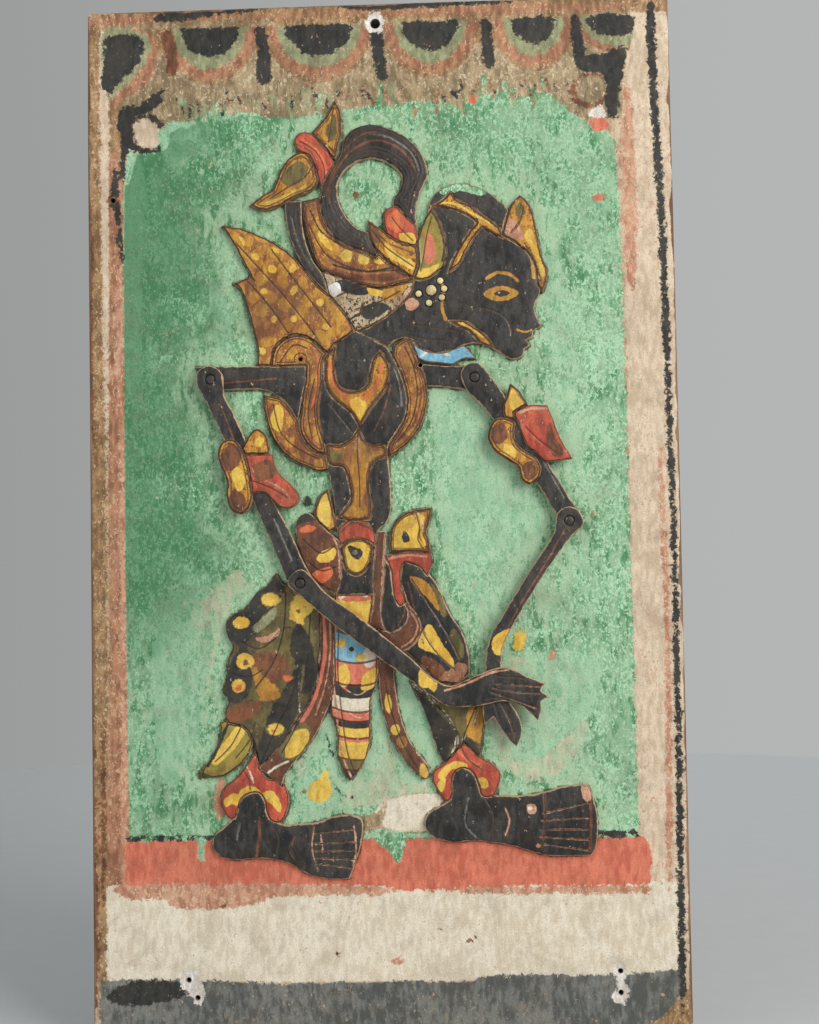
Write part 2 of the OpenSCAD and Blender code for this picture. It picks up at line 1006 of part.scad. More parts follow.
module right_anklet_outline() {
    outline([[44, 171, 1], [39, 166], [33, 160], [27, 156], [26, 150], [29, 144], [34, 138], [37, 142], [37, 150],
        [39, 155], [44, 157], [49, 154], [52, 147], [54, 141], [60, 141], [64, 148], [64, 155],
        [59, 160], [53, 163], [48, 168]]);
}

module left_anklet() {
    color("#d8573f")
        relief()
            difference() {
                left_anklet_outline();
                left_fold_band_outline();
                left_skirt_outline();
            }
}

module left_foot() {
    color("#232325")
        relief()
            difference() {
                outline([[-86, 136], [-83, 142], [-76, 146], [-69, 141], [-68, 131, 1], [-60, 126], [-50, 126],
                    [-40, 127], [-31, 130], [-22, 131], [-15, 129], [-14, 122], [-16, 112], [-19, 103], [-22, 95, 1],
                    [-34, 95], [-46, 98], [-54, 103], [-64, 106], [-76, 107], [-86, 106], [-95, 108],
                    [-100, 113], [-99, 120], [-92, 126], [-88, 130]]);
                left_anklet_outline();
            }
}

module right_anklet() {
    color("#d8573f")
        relief() right_anklet_outline();
}

module right_foot() {
    color("#232325")
        relief()
            difference() {
                outline([[36, 154], [42, 159], [50, 155], [53, 147], [56, 142], [66, 141], [78, 141], [90, 143],
                    [101, 146], [114, 147, 1], [117, 138], [119, 126], [118, 114], [115, 107, 1], [104, 107],
                    [92, 107], [80, 110], [70, 113], [58, 115], [48, 116], [38, 115], [29, 117], [22, 122],
                    [22, 130], [29, 135], [35, 140]]);
                right_anklet_outline();
            }
}

back_board();
torso();
necklace();
chest_knot();
belt_top();
belt_shield();
head();
crown_straps();
crown_front();
chin_strap();
ear_pearls();
collar();
hair_curl();
hair_band();
hair_base();
nape_crescent();
hair_tip_upper_leaf();
hair_tip_band();
hair_tip_lower_leaf();
crest_left_leaf();
crest_bud();
crest_right_leaf();
back_wing();
halo_left_inner();
halo_left_outer();
halo_right();
left_shoulder();
right_shoulder();
shoulder_pins();
left_upper_arm();
left_armband_scroll();
left_armband_leaf();
left_armband_tip();
left_elbow_pin();
left_elbow_washer();
left_forearm();
right_upper_arm();
right_armband_scroll();
right_armband_leaf();
right_armband_tip();
right_elbow_pin();
right_forearm();
waist_leaf();
hip_sash();
kris_handle();
kris_guard();
front_sash();
front_drop();
front_round();
right_skirt();
left_skirt();
left_fold_band();
apron();
tail_cloth();
right_fold_band();
right_leg_cloth();
left_anklet();
left_foot();
right_anklet();
right_foot();
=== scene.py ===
# %% Start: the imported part, its sizes and the tools
import json
import math

import bmesh
import bpy
import numpy as np
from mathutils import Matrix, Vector, kdtree
from mathutils.geometry import delaunay_2d_cdt


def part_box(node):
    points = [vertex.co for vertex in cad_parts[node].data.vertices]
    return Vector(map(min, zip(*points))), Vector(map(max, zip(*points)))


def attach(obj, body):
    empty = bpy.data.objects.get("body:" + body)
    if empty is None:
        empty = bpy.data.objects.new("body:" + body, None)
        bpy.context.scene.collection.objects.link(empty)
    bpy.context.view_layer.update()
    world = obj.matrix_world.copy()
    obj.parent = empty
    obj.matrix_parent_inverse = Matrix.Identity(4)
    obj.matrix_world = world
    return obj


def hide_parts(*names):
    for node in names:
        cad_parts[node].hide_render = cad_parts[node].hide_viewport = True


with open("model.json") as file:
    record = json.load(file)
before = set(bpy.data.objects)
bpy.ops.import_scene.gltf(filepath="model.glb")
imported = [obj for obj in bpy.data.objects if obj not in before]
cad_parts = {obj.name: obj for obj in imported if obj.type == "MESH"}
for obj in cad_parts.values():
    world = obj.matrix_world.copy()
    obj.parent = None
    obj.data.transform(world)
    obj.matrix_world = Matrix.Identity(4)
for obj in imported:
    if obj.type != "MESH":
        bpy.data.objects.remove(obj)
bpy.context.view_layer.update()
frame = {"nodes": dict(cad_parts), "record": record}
MM = 0.001

# %% [markdown]
# The real object is one thick painted plank. A flat shadow-play figure stands proud of it by a few millimetres, and
# its arms are loose pieces of thin wood, held by pegs at the shoulders and elbows.
# The looks of such a panel are nine tenths paint, so most of the work goes into two things: a carved surface for
# every piece, and a record, at each point of that surface, of how far it lies from each painted shape.
# A distance is kept and not a colour, because a distance stays smooth between two mesh points. The material cuts it
# with a little noise, so that a painted edge stays crisp at any size and is ragged like a brushed one.

# %% The camera, a little right of the middle and just below half height
camera = bpy.data.objects.new("camera", bpy.data.cameras.new("camera"))
camera.data.lens = 50
camera.data.sensor_width = 36
camera.location = (0.0497, -0.8266, 0.2692)
camera.rotation_euler = [math.radians(a) for a in (92.36, 0.953, 2.456)]
bpy.context.scene.collection.objects.link(camera)
bpy.context.scene.camera = camera

# %% [markdown]
# Shapes on the painted face are described in the face's own millimetres: x to the right, z up from the bottom edge.
# Each shape is a small function that gives the distance of many points from its edge, negative inside.
# With distances, one tool serves for paint, for carved grooves and for worn patches.

# %% Distances in the plane of the face
FAR = 1e3  # stands for any distance that is too far to matter
REACH = 4.0  # how far from a shape, in mm, its distance is worked out


def along_curve(points, closed=True, step=1.5):
    """A smooth curve through a few points. A third value of 1 makes that point a corner."""
    count = len(points)
    curve = []
    for i in range(count if closed else count - 1):
        def pick(k):
            k = (i + k) % count if closed else min(max(i + k, 0), count - 1)
            return np.array(points[k][:2], float), len(points[k]) > 2
        (before, _), (start, hard_start), (end, hard_end), (after, _) = (pick(k) for k in (-1, 0, 1, 2))
        leave = end - start if hard_start else (end - before) / 2
        arrive = end - start if hard_end else (after - start) / 2
        pieces = max(1, round(float(np.linalg.norm(end - start)) / step))
        for t in (k / pieces for k in range(pieces)):
            curve.append((2 * t**3 - 3 * t**2 + 1) * start + (t**3 - 2 * t**2 + t) * leave
                         + (3 * t**2 - 2 * t**3) * end + (t**3 - t**2) * arrive)
    if not closed:
        curve.append(np.array(points[-1][:2], float))
    return np.array(curve)


def line_distance(x, z, line, closed):
    """Distance of each point from a run of short straight pieces."""
    start = line if closed else line[:-1]
    end = np.roll(line, -1, 0) if closed else line[1:]
    best = np.full(len(x), 1e9)
    for (ax, az), (bx, bz) in zip(start, end):
        dx, dz = bx - ax, bz - az
        t = np.clip(((x - ax) * dx + (z - az) * dz) / max(dx * dx + dz * dz, 1e-12), 0, 1)
        best = np.minimum(best, (x - ax - t * dx) ** 2 + (z - az - t * dz) ** 2)
    return np.sqrt(best)


def is_inside(x, z, loops):
    """True for the points that lie inside the loops, with holes left out."""
    inside = np.zeros(len(x), bool)
    for loop in loops:
        for (ax, az), (bx, bz) in zip(loop, np.roll(loop, -1, 0)):
            if az != bz:
                inside ^= ((az > z) != (bz > z)) & (x < (bx - ax) * (z - az) / (bz - az) + ax)
    return inside


def near(x, z, low, high):
    """True for the points that lie within reach of a shape's box."""
    return (x > low[0] - REACH) & (x < high[0] + REACH) & (z > low[1] - REACH) & (z < high[1] + REACH)


def patch(*points):
    """A filled shape with a smooth outline."""
    loop = along_curve(points)

    def distance(x, z):
        result = np.full(len(x), FAR)
        close = near(x, z, loop.min(0), loop.max(0))
        px, pz = x[close], z[close]
        result[close] = line_distance(px, pz, loop, True) * np.where(is_inside(px, pz, [loop]), -1, 1)
        return result
    return distance


def oval(cx, cz, rx, rz=None, turn=0):
    """A filled oval, turned by some degrees."""
    rz = rz or rx
    c, s = math.cos(math.radians(turn)), math.sin(math.radians(turn))

    def distance(x, z):
        u, v = (x - cx) * c + (z - cz) * s, (z - cz) * c - (x - cx) * s
        return (np.hypot(u / rx, v / rz) - 1) * min(rx, rz)
    return distance


def stroke(width, *points):
    """A brush or gouge stroke that gets thinner towards its ends."""
    line = along_curve(points, closed=False)

    def distance(x, z):
        result = np.full(len(x), FAR)
        close = near(x, z, line.min(0) - width, line.max(0) + width)
        result[close] = line_distance(x[close], z[close], line, False) - width / 2
        return result
    return distance


def gouge(depth, width, *points):
    """A cut for a carved piece: its depth, its width and its line."""
    return depth, width, stroke(0, *points)


def block(x0, x1, z0, z1):
    """A straight-sided area."""
    def distance(x, z):
        dx, dz = np.abs(x - (x0 + x1) / 2) - (x1 - x0) / 2, np.abs(z - (z0 + z1) / 2) - (z1 - z0) / 2
        return np.hypot(np.maximum(dx, 0), np.maximum(dz, 0)) + np.minimum(np.maximum(dx, dz), 0)
    return distance


def both(one, two):
    """Only where two shapes overlap."""
    return lambda x, z: np.maximum(one(x, z), two(x, z))


# %% [markdown]
# A carved piece starts from the flat outline of its solid, so it always sits exactly where the part says.
# Its front is filled with a fine net of triangles. Near the outline the net follows it in rows, which gives a clean
# rounded edge. Then the front is pressed back: at the edge, along gouge strokes, and a little everywhere, as hand
# carving is never flat. Pressing back only ever removes wood, so a piece never leaves the room of its solid.

# %% The outline of a solid's front
SAME_POINT = 0.12  # points of an outline that are closer than this, in mm, count as one
PROBE = 0.05  # how far off an outline its sides are tried


def front_loops(node):
    """The edge loops of a solid's flat front in mm, and its front and back as y in mm."""
    mesh = bmesh.new()
    mesh.from_mesh(frame["nodes"][node].data)
    bmesh.ops.remove_doubles(mesh, verts=mesh.verts, dist=2e-6)
    mesh.normal_update()
    mesh.verts.ensure_lookup_table()
    front_y = min(v.co.y for v in mesh.verts)
    back_y = max(v.co.y for v in mesh.verts)
    front = {f for f in mesh.faces if f.normal.y < -0.99 and abs(f.calc_center_median().y - front_y) < 1e-5}
    links = {}
    for edge in mesh.edges:
        if sum(f in front for f in edge.link_faces) == 1:
            a, b = edge.verts
            links.setdefault(a.index, []).append(b.index)
            links.setdefault(b.index, []).append(a.index)
    loops, seen = [], set()
    for first in sorted(links):
        if first in seen:
            continue
        loop, here = [first], first
        seen.add(first)
        while True:
            onward = [n for n in links[here] if n not in seen]
            if not onward:
                break
            here = onward[0]
            seen.add(here)
            loop.append(here)
        loops.append(np.array([[mesh.verts[i].co.x / MM, mesh.verts[i].co.z / MM] for i in loop]))
    mesh.free()
    loops.sort(key=lambda loop: -np.ptp(loop[:, 0]) * np.ptp(loop[:, 1]))
    return loops, front_y / MM, back_y / MM


def even_loop(loop, step):
    """The same loop with its long pieces cut to an even step."""
    result = []
    for a, b in zip(loop, np.roll(loop, -1, 0)):
        pieces = max(1, math.ceil(float(np.linalg.norm(b - a)) / step))
        result += [a + (b - a) * k / pieces for k in range(pieces)]
    kept = [result[0]]
    for p in result[1:]:
        if np.linalg.norm(p - kept[-1]) > SAME_POINT:
            kept.append(p)
    return np.array(kept)


def inward(loop, loops):
    """The direction from each point of a loop into the wood."""
    tangent = np.roll(loop, -1, 0) - np.roll(loop, 1, 0)
    tangent /= np.maximum(np.linalg.norm(tangent, axis=1), 1e-9)[:, None]
    side = np.stack([-tangent[:, 1], tangent[:, 0]], 1)
    probe = loop + side * PROBE
    flip = np.where(is_inside(probe[:, 0], probe[:, 1], loops), 1, -1)
    return side * np.median(flip)


# %% The net of triangles over a front
EVEN = 0.866  # the height of a triangle with even sides
ROW_KEEP = 0.93  # a row's point that lies nearer to a rim than this share of its offset is left out


def spans(rims):
    """The numbers of each rim's points."""
    start, result = 0, []
    for rim in rims:
        result.append(range(start, start + len(rim)))
        start += len(rim)
    return result


def rim_edges(rims):
    """The edges round each rim, as pairs of point numbers."""
    return [(span[i], span[(i + 1) % len(span)]) for span in spans(rims) for i in range(len(span))]


def net(loops, step, rows):
    """Points and triangles that fill the loops. The first points are the loops' own, in order."""
    rims = [even_loop(loop, step * 1.1) for loop in loops]
    points = np.concatenate(rims)
    extra = []
    for offset in rows:
        row = np.concatenate([rim + inward(rim, rims) * offset for rim in rims])
        away = np.min([line_distance(row[:, 0], row[:, 1], rim, True) for rim in rims], 0)
        extra.append(row[(away > offset * ROW_KEEP) & is_inside(row[:, 0], row[:, 1], rims)])
    low, high = points.min(0), points.max(0)
    gx, gz = np.meshgrid(np.arange(low[0], high[0], step), np.arange(low[1], high[1], step * EVEN))
    gx[1::2] += step / 2
    grid = np.stack([gx.ravel(), gz.ravel()], 1)
    grid = grid[is_inside(grid[:, 0], grid[:, 1], rims)]
    away = np.min([line_distance(grid[:, 0], grid[:, 1], rim, True) for rim in rims], 0)
    extra.append(grid[away > (rows[-1] if rows else 0) + step * 0.5])
    everything = np.concatenate([points] + extra)
    found = delaunay_2d_cdt([tuple(p) for p in everything], rim_edges(rims), [], 0, 1e-6, True)
    # the triangulation may merge points, so everything is read back from what it returns
    spots = np.array([tuple(v) for v in found[0]])
    origin = {old: new for new, olds in enumerate(found[3]) for old in olds}
    faces = np.array([f for f in found[2] if len(f) == 3])
    middle = spots[faces].mean(1)
    faces = faces[is_inside(middle[:, 0], middle[:, 1], rims)]
    return spots, faces, [[origin[i] for i in span] for span in spans(rims)], rims


# %% [markdown]
# Paint goes on in the order in which it is listed, and each coat hides what is under it. A coat is stored as a named
# number on every mesh point. The number is REACH at the painted edge and grows inwards, so a piece that has no such
# paint has 0 and shows none of it.

# %% Painting and pressing
def paint_coats(x, z, marks):
    """The stored number of each colour, from a list of (colour, shape). The material lays the colours on in the
    order of BOX, so each shape also cuts away what later colours of BOX have put under it."""
    coats, order = {}, list(BOX)
    for colour, shape in marks:
        value = np.clip(REACH - shape(x, z), 0, 2 * REACH)
        for other in coats:
            if order.index(other) > order.index(colour):
                coats[other] = np.minimum(coats[other], 2 * REACH - value + 0.2)
        coats[colour] = np.maximum(coats.get(colour, 0), value)
    return coats


def ripple(x, z, size, seed):
    """Smooth unevenness from -1 to 1 over lengths of about size, the same on every run."""
    rng = np.random.default_rng(seed)
    total = np.zeros(len(x))
    for _ in range(6):
        angle, phase, length = rng.uniform(0, math.tau), rng.uniform(0, math.tau), size * rng.uniform(0.6, 1.7)
        total += np.sin((x * math.cos(angle) + z * math.sin(angle)) * math.tau / length + phase)
    return total / 3


SHARP = math.radians(40)


def build(name, points, faces, material, attributes):
    """A finished object at the origin from points in mm, with its attributes and smooth shading."""
    mesh = bpy.data.meshes.new(name)
    mesh.from_pydata([tuple(p) for p in np.asarray(points) * MM], [], [tuple(map(int, f)) for f in faces])
    mesh.validate()
    for key, values in attributes.items():
        layer = mesh.attributes.new(key, "FLOAT", "POINT")
        layer.data.foreach_set("value", np.asarray(values, np.float32))
    mesh.shade_smooth()
    mesh.set_sharp_from_angle(angle=SHARP)
    mesh.materials.append(material)
    piece = bpy.data.objects.new(name, mesh)
    bpy.context.scene.collection.objects.link(piece)
    return piece


def turned(points, faces, side):
    """Triangles turned so that they face the viewer (-1) or the back (1)."""
    a, b, c = points[faces[:, 0]], points[faces[:, 1]], points[faces[:, 2]]
    facing = np.cross(b - a, c - a)[:, 1]
    return [tuple(f) if y * side > 0 else tuple(f[::-1]) for f, y in zip(faces, facing)]


def outward_walls(points, walls, rims):
    """Wall faces turned away from the wood."""
    walls = np.array(walls)
    a, b, back_a = points[walls[:, 0]], points[walls[:, 1]], points[walls[:, 3]]
    normal = np.cross(b - a, back_a - a)
    flat = normal[:, [0, 2]] / np.maximum(np.linalg.norm(normal[:, [0, 2]], axis=1), 1e-12)[:, None]
    probe = (a + b)[:, [0, 2]] / 2 + flat * 0.04
    wood = is_inside(probe[:, 0], probe[:, 1], rims)
    return [tuple(w[::-1]) if flip else tuple(w) for w, flip in zip(walls, wood)]


EDGE_ROWS = (0.12, 0.35, 0.65, 1.0)  # where the net's rows lie across the rounded edge
SWELL_REACH = 2.4  # how far in from the edge a piece still curves, in mm
RING_HALF = 0.75  # half the width of a groove cut round a piece
LEAST_WOOD = 0.25  # what is always left between the front and the back
PEG_HOLE = 8  # a rim narrower than this is a peg's hole, where no hand rubs the paint
total_triangles = 0


def carve(node, body, slot, marks=(), cuts=(), rings=(), edge=0.9, swell=0.35, step=0.62, rough=0.05):
    """One carved and painted piece in place of its solid.
    marks are (colour, shape), cuts come from gouge, and rings are (distance from the edge, depth)."""
    global total_triangles
    loops, front_y, back_y = front_loops(node)
    rows = [edge * share for share in EDGE_ROWS]
    spots, faces, rim_ids, rims = net(loops, step, rows)
    x, z = spots[:, 0], spots[:, 1]
    away = np.min([line_distance(x, z, rim, True) for rim in rims], 0)
    for ids in rim_ids:
        away[ids] = 0
    room = np.clip(edge - away, 0, edge)
    pressed = edge - np.sqrt(np.maximum(edge**2 - room**2, 0))
    pressed += swell * np.exp(-away / SWELL_REACH)
    groove = np.zeros(len(x))
    for depth, width, shape in cuts:
        profile = np.clip(1 - np.maximum(shape(x, z), 0) / width, 0, 1) ** 2
        pressed += depth * profile
        groove = np.maximum(groove, profile)
    for distance, depth in rings:
        profile = np.clip(1 - np.abs(away - distance) / RING_HALF, 0, 1) ** 2
        pressed += depth * profile
        groove = np.maximum(groove, profile)
    seed = sum(map(ord, node))
    pressed += rough * (1 + 0.5 * ripple(x, z, 9, seed) + 0.5 * ripple(x, z, 3.5, seed + 1))
    pressed = np.clip(pressed, 0, (back_y - front_y) - LEAST_WOOD)
    front = np.stack([x, front_y + pressed, z], 1)

    # flat back with the same rim, and walls between the two
    rim_all = [i for ids in rim_ids for i in ids]
    back_of = {i: len(front) + k for k, i in enumerate(rim_all)}
    back = np.stack([x[rim_all], np.full(len(rim_all), back_y), z[rim_all]], 1)
    back_net = delaunay_2d_cdt([(x[i], z[i]) for i in rim_all], rim_edges(rim_ids), [], 0, 1e-6, True)
    back_origin = [olds[0] for olds in back_net[3]]
    back_faces = np.array([[back_origin[i] for i in f] for f in back_net[2]])
    middle = back[back_faces][:, :, [0, 2]].mean(1)
    back_faces = back_faces[is_inside(middle[:, 0], middle[:, 1], rims)] + len(front)
    points = np.concatenate([front, back])
    triangles = turned(front, faces, -1) + turned(points, back_faces, 1)
    walls = [(a, b, back_of[b], back_of[a]) for ids in rim_ids for a, b in zip(ids, ids[1:] + ids[:1])]
    walls = outward_walls(points, walls, rims)

    coats = paint_coats(x, z, marks)
    outside = [rim for rim in rims if np.ptp(rim[:, 0]) > PEG_HOLE]
    rubbed = np.min([line_distance(x, z, rim, True) for rim in outside], 0)
    values = {"edge_mm": rubbed, "groove": groove}
    values.update({"coat_" + colour: value for colour, value in coats.items()})
    values = {key: np.concatenate([v, v[rim_all]]) for key, v in values.items()}
    piece = build(node, points, triangles + walls, PAINT[slot], values)
    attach(piece, body)
    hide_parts(node)
    total_triangles += len(triangles) + 2 * len(walls)
    return piece

# %% [markdown]
# Every finish here is old matt paint over gesso and wood. What they share is built once as node groups: uneven
# brushed colour, the painted shapes, the worn edge, the dirt, and the relief of brush strokes. Each material then
# puts its own colours into them. Only colours, masks and heights come out of a group, and the shader stays outside.

# %% Short words for adding shader nodes
def tone(r, g, b):
    """A colour given as it looks on a screen, 0 to 255, made linear."""
    return [((v / 255 + 0.055) / 1.055) ** 2.4 if v > 10 else v / 255 / 12.92 for v in (r, g, b)] + [1.0]


class Bench:
    """Adds nodes to one tree and joins them up. A value may be a number, a colour or another node's output."""

    def __init__(self, tree):
        self.tree = tree

    def add(self, kind, inputs=(), **settings):
        node = self.tree.nodes.new(kind)
        for key, value in settings.items():
            setattr(node, key, value)
        for key, value in dict(inputs).items():
            self.put(node.inputs[key], value)
        return node

    def put(self, socket, value):
        if isinstance(value, bpy.types.NodeSocket):
            self.tree.links.new(value, socket)
        else:
            socket.default_value = value

    def maths(self, operation, *values):
        return self.add("ShaderNodeMath", enumerate(values), operation=operation).outputs[0]

    def times(self, one, two):
        return self.maths("MULTIPLY", one, two)

    def plus(self, one, two):
        return self.maths("ADD", one, two)

    def minus(self, one, two):
        return self.maths("SUBTRACT", one, two)

    def greater(self, one, two):
        return self.maths("MAXIMUM", one, two)

    def mix(self, share, under, over, blend="MIX"):
        node = self.add("ShaderNodeMix", {0: share, 6: under, 7: over}, data_type="RGBA", blend_type=blend)
        return node.outputs[2]

    def cut(self, value, low, high, to_low=0.0, to_high=1.0):
        """A soft step from one number to another as the value goes from low to high."""
        sizes = {"Value": value, "From Min": low, "From Max": high, "To Min": to_low, "To Max": to_high}
        return self.add("ShaderNodeMapRange", sizes, interpolation_type="SMOOTHSTEP").outputs[0]

    def attribute(self, name):
        return self.add("ShaderNodeAttribute", attribute_name=name).outputs["Fac"]

    def place(self, stretch=(1, 1, 1), shift=(0, 0, 0)):
        """The object's own coordinates, stretched and shifted."""
        spot = self.add("ShaderNodeTexCoord").outputs["Object"]
        sizes = {"Vector": spot, "Scale": stretch, "Location": shift}
        return self.add("ShaderNodeMapping", sizes).outputs[0]

    def noise(self, millimetres, detail=3.0, rough=0.55, stretch=(1, 1, 1), shift=(0, 0, 0), bend=0.0):
        """Noise whose broad shapes are about so many millimetres across."""
        sizes = {"Vector": self.place(stretch, shift), "Scale": 1 / (millimetres * MM), "Detail": detail,
                 "Roughness": rough, "Distortion": bend}
        return self.add("ShaderNodeTexNoise", sizes).outputs[0]


def new_group(name, inputs, outputs):
    """An empty shader group with its sockets: (name, kind, starting value)."""
    group = bpy.data.node_groups.new(name, "ShaderNodeTree")
    for label, kind, value in inputs:
        socket = group.interface.new_socket(label, in_out="INPUT", socket_type="NodeSocket" + kind)
        socket.default_value = value
    for label, kind in outputs:
        group.interface.new_socket(label, in_out="OUTPUT", socket_type="NodeSocket" + kind)
    bench = Bench(group)
    return group, bench, bench.add("NodeGroupInput").outputs, bench.add("NodeGroupOutput").inputs


def use(bench, group, **inputs):
    """Places a group and returns its outputs. Input names are given with _ for a space."""
    node = bench.add("ShaderNodeGroup", node_tree=group)
    for key, value in inputs.items():
        bench.put(node.inputs[key.replace("_", " ")], value)
    return node.outputs


WHITE = (1.0, 1.0, 1.0, 1.0)

# %% The brush itself: broad clouds and short upright strokes in one number, specks in the other
brush_marks, b, given, made = new_group(
    "brush marks", [("Patch", "Float", 0.5)], [("Blend", "Float"), ("Fleck", "Float")])
cloud = b.noise(26, 4, 0.62, bend=0.4)
strokes = b.noise(4.2, 3, 0.6, stretch=(1.5, 1, 0.55), shift=(3, 1, 2))
flecks = b.noise(1.5, 2, 0.65, stretch=(1, 1, 0.7), shift=(7, 5, 1), bend=0.6)
b.put(made["Blend"], b.plus(b.times(cloud, given["Patch"]),
                             b.times(strokes, b.minus(1.0, given["Patch"]))))
b.put(made["Fleck"], b.plus(b.times(flecks, 0.72), b.times(cloud, 0.28)))

# %% Uneven brushed colour, with specks of what lies under the paint
brushed_colour, b, given, made = new_group(
    "brushed colour",
    [("Dark", "Color", WHITE), ("Light", "Color", WHITE), ("Speck", "Color", WHITE), ("Speck share", "Float", 0.2),
     ("Blend", "Float", 0.5), ("Fleck", "Float", 0.5)],
    [("Colour", "Color"), ("Specks", "Float")])
coloured = b.mix(b.cut(given["Blend"], 0.4, 0.6), given["Dark"], given["Light"])
limit = b.minus(0.72, b.times(given["Speck share"], 0.32))
specks = b.cut(given["Fleck"], limit, b.plus(limit, 0.05))
b.put(made["Colour"], b.mix(specks, coloured, given["Speck"]))
b.put(made["Specks"], specks)

# %% The painted shapes, one coat for each colour of the painter's box
# colour: (darker tone, lighter tone, what shows through, how much of it shows)
BOX = {
    "tan": (tone(118, 88, 56), tone(172, 136, 96), tone(198, 170, 136), 0.5),
    "sand": (tone(192, 170, 144), tone(218, 199, 174), tone(198, 158, 132), 0.42),
    "rust": (tone(136, 90, 66), tone(180, 128, 98), tone(198, 164, 128), 0.5),
    "khaki": (tone(122, 104, 76), tone(170, 148, 114), tone(200, 184, 152), 0.5),
    "sage": (tone(122, 124, 90), tone(156, 160, 122), tone(190, 168, 134), 0.45),
    "cream": (tone(211, 197, 173), tone(229, 219, 199), tone(198, 172, 144), 0.3),
    "green": (tone(70, 128, 84), tone(126, 174, 130), tone(170, 210, 174), 0.66),
    "mint": (tone(140, 184, 148), tone(168, 204, 170), tone(116, 168, 126), 0.6),
    "haze": (tone(168, 172, 142), tone(202, 198, 170), tone(136, 180, 142), 0.5),
    "pink": (tone(170, 116, 90), tone(204, 154, 126), tone(208, 178, 146), 0.55),
    "red": (tone(190, 98, 76), tone(216, 124, 98), tone(226, 160, 132), 0.15),
    "brown": (tone(88, 54, 38), tone(136, 84, 56), tone(164, 120, 84), 0.3),
    "olive": (tone(78, 70, 42), tone(122, 108, 60), tone(150, 140, 96), 0.25),
    "gold": (tone(154, 104, 40), tone(198, 146, 58), tone(222, 180, 96), 0.3),
    "yellow": (tone(206, 160, 58), tone(230, 194, 88), tone(236, 214, 158), 0.3),
    "orange": (tone(198, 90, 58), tone(220, 124, 76), tone(226, 160, 108), 0.3),
    "blue": (tone(104, 158, 182), tone(146, 188, 200), tone(190, 206, 200), 0.3),
    "slate": (tone(80, 82, 79), tone(122, 123, 118), tone(150, 136, 116), 0.42),
    "black": (tone(34, 34, 33), tone(54, 54, 51), tone(112, 98, 80), 0.22),
    "gesso": (tone(200, 190, 180), tone(234, 230, 224), tone(150, 120, 96), 0.3),
}
LOOSE_COLOURS = ("mint", "haze", "khaki")  # scumbled on, so their edges wander more
painted_shapes, b, given, made = new_group(
    "painted shapes",
    [("Under", "Color", WHITE), ("Ragged mm", "Float", 0.5), ("Soft mm", "Float", 0.14), ("Blend", "Float", 0.5),
     ("Fleck", "Float", 0.5)],
    [("Colour", "Color"), ("Cover", "Float")])
wander = b.minus(b.noise(3.4, 5, 0.72, shift=(2, 9, 4), bend=0.6), 0.5)
low, high = b.minus(REACH, given["Soft mm"]), b.plus(REACH, given["Soft mm"])
ragged = b.times(wander, b.times(given["Ragged mm"], 4.0))
showing, cover = given["Under"], 0.0
for colour, (dark, light, below, share) in BOX.items():
    loose = 1.6 if colour in LOOSE_COLOURS else 1.0
    reach = b.maths("MULTIPLY_ADD", ragged, loose, b.attribute("coat_" + colour))
    mask = b.cut(reach, low, high)
    coat = use(b, brushed_colour, Dark=dark, Light=light, Speck=below, Speck_share=share,
               Blend=given["Blend"], Fleck=given["Fleck"])
    showing = b.mix(mask, showing, coat["Colour"])
    cover = b.greater(cover, mask)
b.put(made["Colour"], showing)
b.put(made["Cover"], cover)

# %% The worn edge: bare wood at the very edge, then the dark line that the painter drew round each shape
worn_edge, b, given, made = new_group(
    "worn edge",
    [("Paint", "Color", WHITE), ("Line", "Color", WHITE), ("Bare", "Color", WHITE), ("Line mm", "Float", 1.2),
     ("Bare mm", "Float", 0.5), ("Groove share", "Float", 0.8)],
    [("Colour", "Color"), ("Worn", "Float")])
edge = b.attribute("edge_mm")
uneven = b.minus(b.noise(5, 5, 0.7, shift=(4, 4, 8)), 0.5)
shifted = b.plus(edge, b.times(uneven, 2.6))
line = b.minus(1.0, b.cut(shifted, b.times(given["Line mm"], 0.75), given["Line mm"]))
groove = b.times(b.cut(b.attribute("groove"), 0.12, 0.55), given["Groove share"])
lined = b.mix(b.greater(line, groove), given["Paint"], given["Line"])
worn = b.minus(1.0, b.cut(shifted, b.minus(given["Bare mm"], 0.2), given["Bare mm"]))
b.put(made["Colour"], b.mix(worn, lined, given["Bare"]))
b.put(made["Worn"], worn)

# %% Dirt and the relief of the brush
old_dirt, b, given, made = new_group(
    "old dirt", [("Colour", "Color", WHITE), ("Amount", "Float", 0.3)], [("Colour", "Color")])
stain = b.cut(b.noise(24, 7, 0.72, shift=(1, 6, 3), bend=1.0), 0.44, 0.68)
chips = b.cut(b.noise(2.4, 4, 0.7, shift=(2, 4, 9), stretch=(1, 1, 0.7)), 0.665, 0.69, 0.0, 0.8)
grain = b.cut(b.noise(0.8, 2, 0.6, shift=(5, 2, 7)), 0.3, 0.7, 0.86, 1.1)
shade = b.mix(b.times(stain, given["Amount"]), given["Colour"], tone(96, 78, 58))
shade = b.mix(chips, shade, tone(190, 168, 138))
b.put(made["Colour"], b.mix(1.0, shade, b.add("ShaderNodeCombineColor", {i: grain for i in range(3)}).outputs[0],
                            "MULTIPLY"))

brush_relief, b, given, made = new_group(
    "brush relief", [("Cover", "Float", 0.0), ("Worn", "Float", 0.0), ("Specks", "Float", 0.0)],
    [("Height mm", "Float")])
hairs = b.noise(1.1, 3, 0.6, stretch=(1.6, 1, 0.45), shift=(8, 3, 6))
lumps = b.noise(7, 5, 0.6, shift=(6, 1, 1))
height = b.plus(b.times(hairs, 0.16), b.times(lumps, 0.5))
height = b.plus(height, b.times(given["Cover"], 0.07))
height = b.minus(height, b.times(given["Worn"], 0.12))
height = b.minus(height, b.times(given["Specks"], 0.08))
b.put(made["Height mm"], height)
print("shared finishes:", [g.name for g in bpy.data.node_groups])


